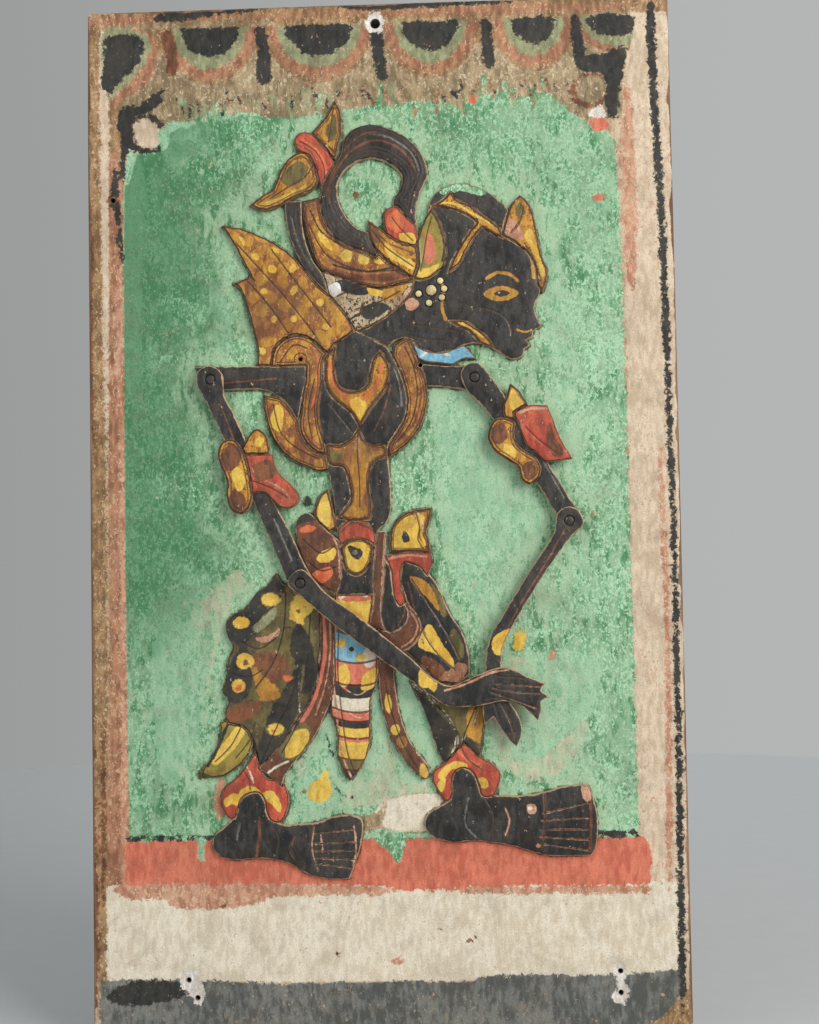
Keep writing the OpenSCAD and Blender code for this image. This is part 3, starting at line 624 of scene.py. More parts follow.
# %% [markdown]
# A material is then one line of colours: two tones of the paint, what shows through it, the line along the edge and
# in the grooves, and the bare stuff where handling has rubbed the edge through. The gloss is low and even, as the
# paint is distemper, but the black has been rubbed and oiled by hands and shines a little more.

# %% The painted finishes
def new_material(name, colour, roughness, height, strength=0.6, specular=0.35):
    """Ends a material in one shader. colour, roughness and height are taken from its bench."""
    material = bpy.data.materials[name]
    bench = Bench(material.node_tree)
    shader = material.node_tree.nodes["Principled BSDF"]
    bench.put(shader.inputs["Base Color"], colour)
    bench.put(shader.inputs["Roughness"], roughness)
    shader.inputs["Specular IOR Level"].default_value = specular
    bump = bench.add("ShaderNodeBump", {"Height": height, "Distance": MM, "Strength": strength})
    bench.put(shader.inputs["Normal"], bump.outputs[0])
    return material


def start_material(name):
    """A new material's bench."""
    material = bpy.data.materials.new(name)
    material.use_nodes = True
    return Bench(material.node_tree)


def painted(name, dark, light, below, share, line, bare, line_mm=1.1, bare_mm=0.45, gloss=0.58, patch=0.45,
            groove=0.85, dirt=0.42, ragged=0.6, soft=0.25):
    """One painted finish. below shows through by its share, and line and bare belong to the worn edge."""
    b = start_material(name)
    brush = use(b, brush_marks, Patch=patch)
    ground = use(b, brushed_colour, Dark=dark, Light=light, Speck=below, Speck_share=share,
                 Blend=brush["Blend"], Fleck=brush["Fleck"])
    shapes = use(b, painted_shapes, Under=ground["Colour"], Ragged_mm=ragged, Soft_mm=soft,
                 Blend=brush["Blend"], Fleck=brush["Fleck"])
    edge = use(b, worn_edge, Paint=shapes["Colour"], Line=line, Bare=bare, Line_mm=line_mm, Bare_mm=bare_mm,
               Groove_share=groove)
    old = use(b, old_dirt, Colour=edge["Colour"], Amount=dirt)
    relief = use(b, brush_relief, Cover=shapes["Cover"], Worn=edge["Worn"], Specks=ground["Specks"])
    rough = b.cut(b.noise(9, 4, 0.6, shift=(3, 3, 3)), 0.3, 0.7, gloss - 0.08, gloss + 0.12)
    return new_material(name, old["Colour"], rough, relief["Height mm"])


INK = tone(38, 30, 27)
WOOD = tone(150, 118, 88)
PALE_WOOD = tone(178, 150, 120)
PAINT = {
    "black_paint": painted("black paint", tone(32, 32, 32), tone(63, 61, 59), tone(112, 98, 82), 0.3,
                           tone(74, 56, 44), PALE_WOOD, 0.9, 0.62, gloss=0.45, dirt=0.2),
    "gold_paint": painted("gold paint", tone(158, 104, 36), tone(206, 150, 56), tone(112, 74, 38), 0.5,
                          tone(70, 44, 28), WOOD, 1.5, 0.4),
    "brown_gold_paint": painted("brown and gold paint", tone(120, 72, 44), tone(168, 110, 58), tone(206, 152, 66),
                                0.5, tone(58, 38, 28), WOOD, 1.3, 0.4),
    "red_paint": painted("red paint", tone(152, 60, 46), tone(200, 92, 68), tone(206, 134, 100), 0.3,
                         tone(84, 42, 32), WOOD, 0.9, 0.4),
    "brown_paint": painted("brown paint", tone(84, 52, 38), tone(120, 74, 52), tone(150, 110, 80), 0.25,
                           INK, tone(196, 160, 138), 0.7, 0.45),
    "skirt_paint": painted("dark cloth paint", tone(44, 40, 34), tone(100, 88, 56), tone(134, 124, 84), 0.4,
                           INK, WOOD, 0.8, 0.35, patch=0.7, ragged=1.5, soft=0.4),
    "olive_paint": painted("olive paint", tone(112, 100, 48), tone(160, 140, 62), tone(96, 76, 44), 0.3,
                           tone(60, 48, 32), WOOD, 1.2, 0.4, patch=0.7),
    "blue_paint": painted("blue paint", tone(104, 160, 188), tone(140, 188, 206), tone(190, 206, 200), 0.3,
                          tone(60, 70, 76), WOOD, 0.6, 0.4),
    "bare_gesso": painted("chipped gesso", tone(150, 124, 92), tone(196, 176, 142), tone(70, 54, 46), 0.6,
                          tone(70, 54, 44), WOOD, 0.8, 0.4),
    "pearl_paint": painted("cream pearls", tone(196, 172, 120), tone(228, 210, 162), tone(110, 84, 58), 0.2,
                           tone(90, 70, 50), WOOD, 0.3, 0.1),
    "pin_paint": painted("blackened pegs", tone(33, 31, 31), tone(62, 58, 55), tone(108, 90, 74), 0.25,
                         INK, WOOD, 0.3, 0.1, gloss=0.45),
}

# %% [markdown]
# The plank is sawn wood with a coat of gesso, and a ground is painted on it: a green field with an
# arched top, a hanging cloth with half-moons and a fringe above, a red band for the ground, then cream, then black.
# Round the figure the painter has scumbled paler green, so the plank also keeps its distance from the figure.
# The sides and the back are bare, and show the grain.

# %% The plank's painted ground
rng = np.random.default_rng(7)
# where paint and gesso have come away round the hanging hole and the two pairs of nail holes
HANGING_CHIP = [(-4, 593.5), (0, 594.6), (4, 593), (5, 588), (3.6, 583), (0, 582.2), (-3.4, 584), (-5.4, 588)]
LEFT_CHIP = [(-119, 42), (-113, 43), (-109, 39), (-106, 33), (-107, 26), (-111, 24), (-113, 29), (-118, 33)]
RIGHT_CHIP = [(127, 46), (132, 46), (133, 40), (131, 36), (134, 33), (133, 26), (129, 23), (125, 28), (128, 34)]
top_cloth = block(-152, 143, 528, 592)
field = patch((-149, 110, 1), (-150, 300), (-149, 480), (-146, 505), (-140, 517), (-120, 528), (-98, 539), (-75, 537),
              (-55, 534), (-20, 537), (20, 541), (60, 543), (85, 548), (100, 543), (112, 533), (122, 525),
              (134, 519), (138, 500), (140, 400), (141, 250), (142, 110, 1))
ground = [
    ("tan", block(-171, -148, 30, 600)),
    ("rust", patch((-161, 90), (-159, 250), (-161, 470), (-150, 500), (-149, 250), (-150, 90))),
    ("sand", patch((-160, 160), (-160, 300), (-162, 440), (-162, 590), (-157.5, 590), (-157, 470), (-158.5, 300),
                   (-159, 180))),
    ("pink", patch((-154, 95), (-152.5, 200), (-152.5, 330), (-155, 420), (-149, 440), (-148, 300), (-149, 95))),
    ("sand", block(141, 171, 36, 592)),
    ("cream", block(-162, 166, 36, 92)),
    ("pink", patch((142, 440), (141, 500), (142, 546), (147, 540), (149, 480), (147, 430))),
    ("pink", patch((157, 100), (159, 220), (158, 330), (160.5, 330), (162, 220), (160, 100))),
    ("khaki", top_cloth),
    ("tan", block(-150, 142, 574, 589)),
    ("green", field),
    ("tan", block(-171, 171, 589, 601)),
    ("khaki", block(-150, -60, 589, 592.5)),
    ("rust", patch((-160, 592), (-100, 593), (-20, 593), (60, 592), (140, 592.5), (140, 595), (60, 596), (-60, 596),
                   (-160, 596.5))),
    ("black", patch((-130, 594), (-115, 593), (-95, 596), (-75, 597), (-70, 599), (-100, 599), (-125, 598))),
    ("black", patch((-20, 597), (10, 596), (60, 597), (80, 599), (30, 600), (-15, 600))),
]

# %% The hanging cloth: half-moons in two rings of paler paint, with dark tabs between them
for cx, half, drop in ((-97, 17, 19), (-33, 20, 20), (32, 16.5, 19), (92, 13, 17)):
    below_edge = block(cx - 40, cx + 40, 500, 588.5)
    ground += [("tan", both(oval(cx, 590, half + 13, drop + 17), below_edge)),
               ("rust", both(oval(cx, 590, half + 11, drop + 13), below_edge)),
               ("sage", both(oval(cx, 590, half + 5, drop + 7), below_edge)),
               ("black", both(oval(cx, 590, half + 0.5, drop), below_edge))]
ground += [
    ("rust", patch((-160, 588), (-136, 589), (-128, 580), (-130, 562), (-142, 550), (-156, 543), (-152, 555))),
    ("sage", patch((-160, 588), (-139, 588), (-132, 578), (-138, 565), (-148, 556), (-158, 550))),
    ("black", patch((-159, 583), (-152, 586), (-139, 586), (-136, 578), (-140, 568), (-148, 560), (-156, 552),
                    (-161, 556), (-160, 570))),
    ("rust", patch((112, 588), (120, 574), (134, 566), (146, 566), (146, 588))),
    ("sage", patch((118, 588), (124, 577), (134, 571), (147, 570), (147, 588))),
    ("black", patch((123, 588), (126, 580), (136, 576), (147, 577), (148, 588))),
    ("brown", patch((-126, 586), (-119, 587), (-117, 572), (-116, 562), (-122, 561), (-124, 572))),
    ("black", patch((-70, 587), (-64, 588), (-62, 574), (-61, 558), (-66, 553), (-70, 560), (-69, 574))),
    ("black", patch((-3, 584), (4, 583), (5, 570), (7, 556), (2, 555), (-1, 563), (-2, 574))),
    ("black", patch((61, 588), (67, 587), (68, 574), (69, 562), (65, 560), (62, 566), (62, 578))),
    ("black", patch((114, 587), (119, 587), (121, 574), (121, 561), (117, 560), (114, 570))),
]

# %% The fringe under it, and the two corner scrolls
x = -117.0
while x < 112:
    tall, lean = rng.uniform(2.5, 8), rng.uniform(-1.2, 2.2)
    z = 544.5 + rng.uniform(-4, 5) + 0.02 * x
    if rng.uniform() < 0.75:
        ground.append(("black" if rng.uniform() < 0.7 else "brown",
                       stroke(rng.uniform(0.6, 1.5), (x, z + tall / 2), (x + lean, z - tall / 2))))
    hang = rng.uniform(4, 12)
    ground.append((rng.choice(["khaki", "khaki", "green", "tan", "sage"]),
                   stroke(rng.uniform(1.2, 3.2), (x + 2, z + hang * 0.4), (x + 2 + lean, z - hang * 0.8))))
    x += rng.uniform(1.8, 6)
ground += [
    ("black", patch((-151, 541), (-138, 545), (-125, 553), (-127, 545), (-134, 539), (-142, 537), (-143, 528),
                    (-141, 517), (-144, 505), (-147, 497), (-151, 502), (-150, 520))),
    ("black", patch((-144, 535), (-133, 538), (-126, 534), (-122, 526), (-124, 518), (-134, 515), (-144, 518))),
    ("sand", patch((-143, 533), (-135, 536), (-129, 532), (-126, 525), (-127, 519), (-136, 518), (-141, 522))),
    ("black", patch((117, 565), (130, 566), (144, 570), (144, 560), (141, 545), (139, 528), (134, 530), (131, 542),
                    (130, 552), (121, 555), (116, 559))),
    ("brown", patch((118, 554), (126, 555), (132, 552), (132, 538), (124, 534), (115, 537), (112, 546))),
    ("khaki", patch((119, 552), (125, 553), (131, 551), (131, 540), (124, 536), (117, 539), (115, 546))),
    ("red", patch((124, 528), (130, 530), (133, 524), (129, 520), (124, 523))),
    ("gesso", patch((124, 534), (131, 535), (132, 530), (127, 528), (123, 530))),
    ("black", patch((-155, 505), (-152, 507), (-151, 480), (-149, 455), (-151, 452), (-153, 470), (-156, 492))),
    ("brown", patch((-172, 330), (-168, 340), (-167.5, 400), (-167, 460), (-169, 490), (-172, 500))),
    ("brown", patch((-172, 20), (-167.5, 40), (-167, 90), (-168, 130), (-168.5, 250), (-172, 260))),
    ("brown", patch((-164, 80), (-162.5, 100), (-162, 160), (-163.5, 190), (-165, 120))),
]

# %% The bands at the bottom, and the dark strip down the right side
ground += [
    ("black", block(-150, -96, 116, 119.6)),
    ("black", block(96, 142, 116.5, 120.5)),
    ("red", patch((-151, 88, 1), (-151, 117, 1), (-60, 118), (20, 117), (100, 117.5), (146, 117, 1), (149, 104),
                  (147, 88, 1), (60, 88.5), (-20, 87.5), (-80, 88.5))),
    ("pink", patch((-150, 84), (-151, 92), (-60, 92), (0, 90), (0, 86), (-60, 85), (-76, 81), (-100, 78), (-122, 79),
                   (-130, 84))),
    ("pink", block(40, 147, 85.5, 90)),
    ("slate", patch((-166, -3, 1), (-166, 38, 1), (-120, 38.5), (-60, 36), (0, 37), (40, 36.5), (60, 40), (120, 40),
                    (166, 43, 1), (166, -3, 1))),
    ("black", patch((-162, 28), (-150, 37), (-122, 37), (-117, 31), (-128, 26), (-150, 24))),
    ("tan", patch((128, -2), (138, 12), (152, 16), (171, 34), (171, -2))),
    ("brown", patch((-168, -4), (-160, 3), (-60, 4), (60, 2), (120, 5), (168, -4))),
    ("black", patch((162.5, 30), (163.5, 150), (164, 260), (163, 350), (161, 460), (158, 540), (157, 585), (161, 594),
                    (162.5, 540), (165, 460), (166.6, 350), (167.4, 260), (167, 150), (166, 30))),
    ("brown", patch((169.5, 20), (169.2, 120), (169.8, 200), (172, 200), (172, 20))),
    ("brown", patch((-14, 489), (-12.5, 490.5), (-11.5, 487), (-12.5, 484), (-14, 485))),
    ("gesso", patch(*HANGING_CHIP)), ("gesso", patch(*LEFT_CHIP)), ("gesso", patch(*RIGHT_CHIP, (127, 40))),
    ("green", patch((-7, 124), (3, 122), (6, 126), (10, 118), (8, 106), (4, 103), (0, 110), (-7, 116))),
    ("mint", patch((-109, 118), (-105, 118), (-105, 108), (-107, 103), (-109, 108))),
    ("red", patch((124, 483), (131, 484), (131, 481), (125, 480))),
    ("red", patch((52, 540), (57, 544), (58, 539))),
    ("brown", oval(-155, 488, 3.2)),
    ("brown", oval(-95, 80, 1.2)), ("brown", oval(30, 66, 1.6, 1)), ("brown", oval(46, 60, 2.2, 0.8, 40)),
    ("pink", oval(4, 48, 4, 2)), ("brown", oval(118, 62, 1)), ("brown", oval(-30, 52, 1.2)),
    ("pink", oval(150, 470, 1.5, 2.5)), ("pink", oval(120, 300, 2, 1.4)), ("brown", oval(60, 44, 1)),
]
specks = [(rng.uniform(-148, 140), rng.uniform(125, 530), rng.uniform(0.5, 1.3)) for _ in range(46)]
ground += [("mint" if i % 3 else "gesso", oval(sx, sz, r, r * 0.8)) for i, (sx, sz, r) in enumerate(specks)]

# %% Paint on the plank that belongs to the figure: scumbled light round it, the yellow leaf, stray strokes
around = [
    ("haze", patch((7, 216), (15, 207), (20, 196), (24, 182), (30, 168), (36, 158), (28, 155), (18, 166), (11, 186))),
    ("mint", patch((26, 390), (48, 372), (72, 336), (92, 300), (80, 266), (60, 236), (44, 262), (32, 300), (30, 345))),
    ("mint", patch((96, 450), (104, 440), (112, 400), (112, 330), (104, 326), (98, 352), (98, 392), (95, 420))),
    ("mint", patch((-148, 506), (-138, 510), (-136, 480), (-139, 430), (-141, 385), (-148, 380))),
    ("mint", patch((-128, 528), (-112, 534), (-98, 530), (-104, 518), (-120, 506))),
    ("mint", patch((-99, 438), (-92, 438), (-86, 418), (-86, 400), (-92, 396), (-96, 412))),
    ("haze", patch((-52, 158), (-36, 176), (-34, 205), (-30, 222), (-27, 196), (-24, 166), (-12, 148), (-4, 170),
                   (-4, 205), (2, 196), (8, 168), (24, 150), (20, 140), (-20, 136), (-44, 142))),
    ("haze", patch((-116, 232), (-104, 256), (-88, 262), (-92, 240), (-98, 222), (-104, 200), (-110, 190),
                   (-112, 210))),
    ("haze", patch((58, 210), (80, 218), (110, 205), (112, 170), (92, 150), (70, 154), (60, 176))),
    ("mint", patch((-30, 235), (0, 222), (30, 200), (34, 175), (24, 150), (6, 150), (2, 175), (-6, 160), (-20, 150),
                   (-32, 132), (-52, 130), (-52, 150), (-40, 175), (-30, 200))),
    ("mint", patch((78, 215), (100, 222), (122, 215), (118, 190), (100, 172), (84, 160), (70, 164), (76, 185))),
    ("cream", patch((2, 140), (30, 142), (36, 130), (30, 122), (6, 121), (-10, 128))),
    ("khaki", patch((-30, 128), (-8, 132), (0, 138), (-4, 124), (-18, 120), (-30, 121))),
    ("mint", patch((-130, 250), (-104, 262), (-98, 240), (-104, 200), (-112, 160), (-128, 150), (-134, 190))),
    ("haze", patch((-112, 246), (-96, 262), (-84, 272), (-80, 262), (-96, 250), (-104, 236))),
    ("pink", patch((-98, 130), (-93, 132), (-92, 148), (-97, 152), (-99, 140))),
    ("olive", patch((-108, 152), (-98, 154), (-98, 160), (-107, 159))),
    ("yellow", patch((-45, 142), (-45, 146), (-40, 151), (-37, 156), (-35, 157), (-32, 152), (-31, 146), (-32, 141),
                     (-36, 139), (-42, 139))),
    ("olive", stroke(0.9, (-50, 143), (-41, 146), (-33, 151))),
    ("yellow", patch((73, 223), (75, 234), (80, 232), (79, 224))),
    ("pink", patch((93, 217), (95, 223), (98, 220), (95, 216))),
    ("black", stroke(1.6, (-35, 177), (-33, 171), (-31, 165))),
    ("black", stroke(1.1, (1, 170), (2, 165))),
    ("black", stroke(1.2, (-30, 147), (-25, 142), (-20, 140))),
    ("black", patch((-47, 309), (-43, 313), (-40, 311), (-42, 307))),
]

# %% [markdown]
# The plank's front is one net of triangles with its holes left open. The edges are rounded by wear, a little
# unevenly, and paint and gesso have come away round the holes, which is pressed into the shape as well as coloured.

# %% The plank's shape
plank_low, plank_high = (np.array(c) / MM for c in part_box("back_board"))
HALF_W, TALL = plank_high[0], plank_high[2]
FRONT_Y, BACK_Y = plank_low[1], plank_high[1]
hole_loops = front_loops("back_board")[0][1:]
solid_points = np.array([v.co for v in frame["nodes"]["back_board"].data.vertices]) / MM
hole_depths = []
for loop in hole_loops:
    off = solid_points[:, [0, 2]] - loop.mean(0)
    in_hole = np.hypot(off[:, 0], off[:, 1]) < np.ptp(loop[:, 0]) / 2 + 0.1
    hole_depths.append(solid_points[in_hole, 1].max() - FRONT_Y)
print("hole depths, mm:", np.round(hole_depths, 1).tolist())
CORNER = 2.5
EDGE_ROUND = 1.8
NET_STEP = 2.1
NET_MARGIN = 4  # the even net keeps this far from the sides
RIM_BAND = 3.5  # a point nearer to a side than this moves with that side
EDGE_INSETS = (0.4, 0.9, 1.5, 2.4)  # where the net's rows lie along the edges
HOLE_RINGS = (0.5, 1.1, 1.9, 2.9, 4.1)  # and round the holes
HOLE_ROOM = 5.0  # the even net keeps this far from a hole's edge


def pulled_in(outline, gap, band=RIM_BAND):
    """An outline moved inwards by gap, each point away from the sides that it lies on."""
    off = outline - [0, TALL / 2]
    return outline - np.sign(off) * (np.abs(np.abs(off) - [HALF_W, TALL / 2]) < band) * gap


def plank_outline(step=2.0):
    """Round the plank, with rounded corners and an edge that handling has worn unevenly."""
    right, top = HALF_W - CORNER, TALL - CORNER
    corners = [(right, CORNER, -90), (right, top, 0), (-right, top, 90), (-right, CORNER, 180)]
    outline = []
    for (cx, cz, turn), (nx, nz, _) in zip(corners, corners[1:] + corners[:1]):
        arc = [math.radians(turn + 90 * k / 4) for k in range(5)]
        outline += [(cx + CORNER * math.cos(a), cz + CORNER * math.sin(a)) for a in arc]
        leave = np.array(outline[-1])
        arrive = np.array([nx + CORNER * math.cos(arc[-1]), nz + CORNER * math.sin(arc[-1])])
        count = int(np.linalg.norm(arrive - leave) / step)
        outline += [tuple(leave + (arrive - leave) * k / count) for k in range(1, count)]
    outline = np.array(outline)
    ox, oz = outline.T
    worn = 0.35 + 0.3 * ripple(ox * 3, oz, 45, 3) + 0.12 * ripple(ox, oz, 9, 4)
    worn = np.clip(worn, 0, 1.1) * np.clip(oz / 20, 0, 1)
    return pulled_in(outline, worn[:, None], 1.0)


rim = plank_outline()
rows = [pulled_in(rim, gap) for gap in EDGE_INSETS]
gx, gz = np.meshgrid(np.arange(-HALF_W + NET_MARGIN, HALF_W - 3.5, NET_STEP),
                     np.arange(NET_MARGIN, TALL - 3.5, NET_STEP * 0.9))
gx[1::2] += NET_STEP / 2
grid = np.stack([gx.ravel(), gz.ravel()], 1)
holes = [(loop.mean(0), np.ptp(loop[:, 0]) / 2) for loop in hole_loops]
fine = []
for centre, radius in holes:
    for k, ring in enumerate(HOLE_RINGS):
        count = 24 + 4 * k
        turn = np.arange(count) * math.tau / count + k * 0.13
        fine.append(centre + (radius + ring) * np.stack([np.cos(turn), np.sin(turn)], 1))
for centre, radius in holes:
    grid = grid[np.hypot(*(grid - centre).T) > radius + HOLE_ROOM]
fine = [p for ring in fine for p in ring
        if all(np.hypot(*(p - c)) > r + 0.3 for c, r in holes)
        and abs(p[0]) < HALF_W - NET_MARGIN and NET_MARGIN < p[1] < TALL - NET_MARGIN]
loops = [rim] + hole_loops
every = np.concatenate(loops + rows + [grid, np.array(fine)])
found = delaunay_2d_cdt([tuple(p) for p in every], rim_edges(loops), [], 0, 1e-6, True)
spots = np.array([tuple(v) for v in found[0]])
origin = {old: new for new, olds in enumerate(found[3]) for old in olds}
faces = np.array(found[2])
middle = spots[faces].mean(1)
keep = np.ones(len(faces), bool)
for centre, radius in holes:
    keep &= np.hypot(*(middle - centre).T) > radius * 0.98
faces = faces[keep]
rim_ids = [[origin[i] for i in span] for span in spans(loops)]
x, z = spots[:, 0], spots[:, 1]
outline_away = np.minimum(HALF_W - np.abs(x), np.minimum(z, TALL - z))
outline_away[rim_ids[0]] = 0
hole_away = np.min([np.hypot(x - c[0], z - c[1]) - r for c, r in holes], 0)
print("plank net:", len(faces), "triangles")

# %% Distance from the figure, so that the ground can be darker right at its foot, partly as painted shade, and paler round it
OUTLINE_STEP = 1.5
FAR_OFF = 60.0  # distances are kept up to this many mm


def away_from(nodes):
    """The distance of each of the front's points from the outlines of some solids."""
    outline = [p for n in nodes if n != "back_board" for loop in front_loops(n)[0]
               for p in even_loop(loop, OUTLINE_STEP)]
    tree = kdtree.KDTree(len(outline))
    for i, (px, pz) in enumerate(outline):
        tree.insert((px, 0, pz), i)
    tree.balance()
    return np.minimum([tree.find((px, 0, pz))[2] for px, pz in zip(x, z)], FAR_OFF)


from_figure = away_from(frame["nodes"])
from_relief = away_from(frame["record"]["behaviour"]["bodies"]["panel"])

# %% The plank's surface and its paint
room = np.clip(EDGE_ROUND - outline_away, 0, EDGE_ROUND)
pressed = EDGE_ROUND - np.sqrt(np.maximum(EDGE_ROUND**2 - room**2, 0))
pressed += 0.06 + 0.03 * ripple(x, z, 30, 1) + 0.03 * ripple(x, z, 8, 2)
chips = np.min([patch(*chip)(x, z) for chip in (HANGING_CHIP, LEFT_CHIP, RIGHT_CHIP)], 0)
pressed += 0.55 * np.clip(0.5 - chips / 1.6, 0, 1)
pressed = np.clip(pressed, 0, 4)
front = np.stack([x, FRONT_Y + pressed, z], 1)
points = [front]
triangles = turned(front, faces, -1)
walls = []
count = len(front)

# the sides, in rings from the front edge to the rounded back edge
SIDE_RINGS = ((0.0, -5.0), (0.0, 1.0), (0.0, 7.0), (0.0, BACK_Y - 1.3), (0.4, BACK_Y - 0.4), (1.3, BACK_Y))
previous = rim_ids[0]
for gap, y in SIDE_RINGS:
    inset = pulled_in(rim, gap)
    ring = np.stack([inset[:, 0], np.full(len(inset), y), inset[:, 1]], 1)
    points.append(ring)
    ids = list(range(count, count + len(ring)))
    count += len(ring)
    walls += [(a, b2, d, c) for a, b2, c, d in zip(previous, previous[1:] + previous[:1], ids, ids[1:] + ids[:1])]
    previous = ids
back_rim = previous

# the holes: one right through, the others ending in a flat bottom
back_holes = []
for ids, depth, (centre, radius) in zip(rim_ids[1:], hole_depths, holes):
    end_y = min(FRONT_Y + depth, BACK_Y)
    ring = np.stack([x[ids], np.full(len(ids), end_y), z[ids]], 1)
    points.append(ring)
    inner = list(range(count, count + len(ring)))
    count += len(ring)
    walls += [(a, c, d, b2) for a, b2, c, d in zip(ids, ids[1:] + ids[:1], inner, inner[1:] + inner[:1])]
    if end_y < BACK_Y:
        points.append(np.array([[centre[0], end_y, centre[1]]]))
        walls += [(c, d, count) for c, d in zip(inner, inner[1:] + inner[:1])]
        count += 1
    else:
        back_holes.append(inner)
every = np.concatenate(points)
rings = [back_rim] + back_holes
flat = [every[i][[0, 2]] for ring in rings for i in ring]
back_net = delaunay_2d_cdt([tuple(p) for p in flat], rim_edges(rings), [], 0, 1e-6, True)
numbers = [i for ring in rings for i in ring]
back_faces = np.array([[numbers[back_net[3][i][0]] for i in f] for f in back_net[2]])
middle = every[back_faces].mean(1)[:, [0, 2]]
for ids in back_holes:
    centre = every[ids].mean(0)[[0, 2]]
    back_faces = back_faces[np.hypot(*(middle - centre).T) > 2.6]
triangles += turned(every, back_faces, 1)

coats = paint_coats(x, z, ground + around)
# the green field alone, less all that is painted over it, except for the scumbled paler greens
bare_field = np.clip(REACH - field(x, z), 0, 2 * REACH)
for colour, shape in ground[ground.index(("green", field)) + 1:] + around:
    if colour not in ("green", "mint", "haze"):
        bare_field = np.minimum(bare_field, np.clip(REACH + shape(x, z), 0, 2 * REACH))
pad = count - len(front)


def extended(values, filler):
    """The front's values, with one filler for every point of the sides, the holes and the back."""
    return np.concatenate([values, np.full(pad, filler)])


values = {"coat_" + c: extended(v, 0.0) for c, v in coats.items()}
values["field_mm"] = extended(bare_field, 0.0)
values["edge_mm"] = extended(outline_away, 0.0)
values["hole_mm"] = extended(hole_away, 50.0)
values["hole_mm"][len(front) + len(SIDE_RINGS) * len(rim):] = 0.0  # the insides of the holes
values["figure_mm"] = extended(from_figure, FAR_OFF)
values["relief_mm"] = extended(from_relief, FAR_OFF)
values["painted_face"] = np.concatenate([np.ones(len(front)), np.zeros(pad)])

# %% [markdown]
# Bare wood shows on the sides and the back, at worn edges and on the washer. Its grain is a noise that is stretched
# along the plank, with thin dark pores in it. The plank's own material then lays the painted ground over it, and
# uses the kept distances: a dark line close to the figure, partly the painter's outline and partly painted shade at
# the foot of the relief, scumbled pale paint further out, and wear at edges.

# %% Bare wood and the plank's material
wood_grain, b, given, made = new_group(
    "wood grain", [("Dark", "Color", WHITE), ("Light", "Color", WHITE)], [("Colour", "Color"), ("Height mm", "Float")])
wide = b.noise(9, 4, 0.6, stretch=(1, 1, 0.07), bend=0.8)
pores = b.noise(1.4, 2, 0.7, stretch=(1, 1, 0.035), shift=(2, 2, 2))
dirty = b.noise(60, 4, 0.6, shift=(5, 5, 1))
grain = b.mix(b.cut(b.plus(b.times(wide, 0.7), b.times(dirty, 0.3)), 0.35, 0.65),
              given["Dark"], given["Light"])
pore = b.cut(pores, 0.3, 0.46, 0.6, 0.0)
b.put(made["Colour"], b.mix(pore, grain, tone(58, 40, 28)))
b.put(made["Height mm"], b.minus(b.times(wide, 0.3), b.times(pore, 0.3)))

b = start_material("bare wood")
wood = use(b, wood_grain, Dark=tone(96, 66, 44), Light=tone(150, 114, 80))
PAINT["bare_wood"] = new_material("bare wood", wood["Colour"], 0.62, wood["Height mm"])

DEEP_GREEN, PALE_GREEN, PALE_HALO = tone(58, 116, 74), tone(166, 198, 164), tone(172, 200, 164)
b = start_material("painted plank")
brush = use(b, brush_marks, Patch=0.42)
base = use(b, brushed_colour, Dark=tone(168, 130, 100), Light=tone(206, 184, 156), Speck=tone(150, 104, 76),
           Speck_share=0.35, Blend=brush["Blend"], Fleck=brush["Fleck"])
shapes = use(b, painted_shapes, Under=base["Colour"], Ragged_mm=2.4, Soft_mm=0.5, Blend=brush["Blend"],
             Fleck=brush["Fleck"])
spot = b.add("ShaderNodeSeparateXYZ", {0: b.add("ShaderNodeTexCoord").outputs["Object"]})
cloud = b.noise(34, 5, 0.65, shift=(9, 1, 5), bend=0.6)
streak = b.noise(6, 4, 0.7, stretch=(1.3, 1, 0.5), shift=(1, 8, 2))
in_field = b.cut(b.attribute("field_mm"), REACH, REACH + 1.2)
# deeper green on the left and a little at the top, and a paler, bluer one on the right and round the figure
deep = b.times(b.cut(b.plus(spot.outputs[0], b.times(cloud, 0.16)), 0.02, -0.05), in_field)
right = b.cut(b.plus(spot.outputs[0], b.times(cloud, 0.12)), 0.06, 0.17)
low = b.cut(b.plus(spot.outputs[2], b.times(cloud, 0.1)), 0.32, 0.24)
deep = b.times(deep, b.minus(0.72, b.times(low, 0.5)))
colour = b.mix(deep, shapes["Colour"], DEEP_GREEN)
pale = b.times(b.greater(right, b.times(low, 0.8)), b.cut(streak, 0.42, 0.55, 0.0, 0.55))
colour = b.mix(b.times(pale, in_field), colour, PALE_GREEN)
high = b.cut(b.plus(spot.outputs[2], b.times(cloud, 0.06)), 0.43, 0.5, 0.0, 0.17)
colour = b.mix(b.times(high, in_field), colour, DEEP_GREEN)
away = b.plus(b.attribute("figure_mm"), b.times(b.minus(cloud, 0.5), 60.0))
halo = b.times(b.cut(away, 20.0, 3.0), b.cut(streak, 0.42, 0.54))
colour = b.mix(b.times(b.times(halo, in_field), 0.62), colour, PALE_HALO)
# a dark line on the plank at the foot of the relief: partly the painter's outline, partly painted shade where the
# raised pieces meet the plank
close = b.plus(b.attribute("relief_mm"), b.times(b.minus(streak, 0.5), 2.4))
outline_and_foot_shade = b.times(b.cut(close, 1.15, 0.75), b.cut(cloud, 0.34, 0.5))
colour = b.mix(b.times(outline_and_foot_shade, 0.8), colour, tone(66, 54, 44))
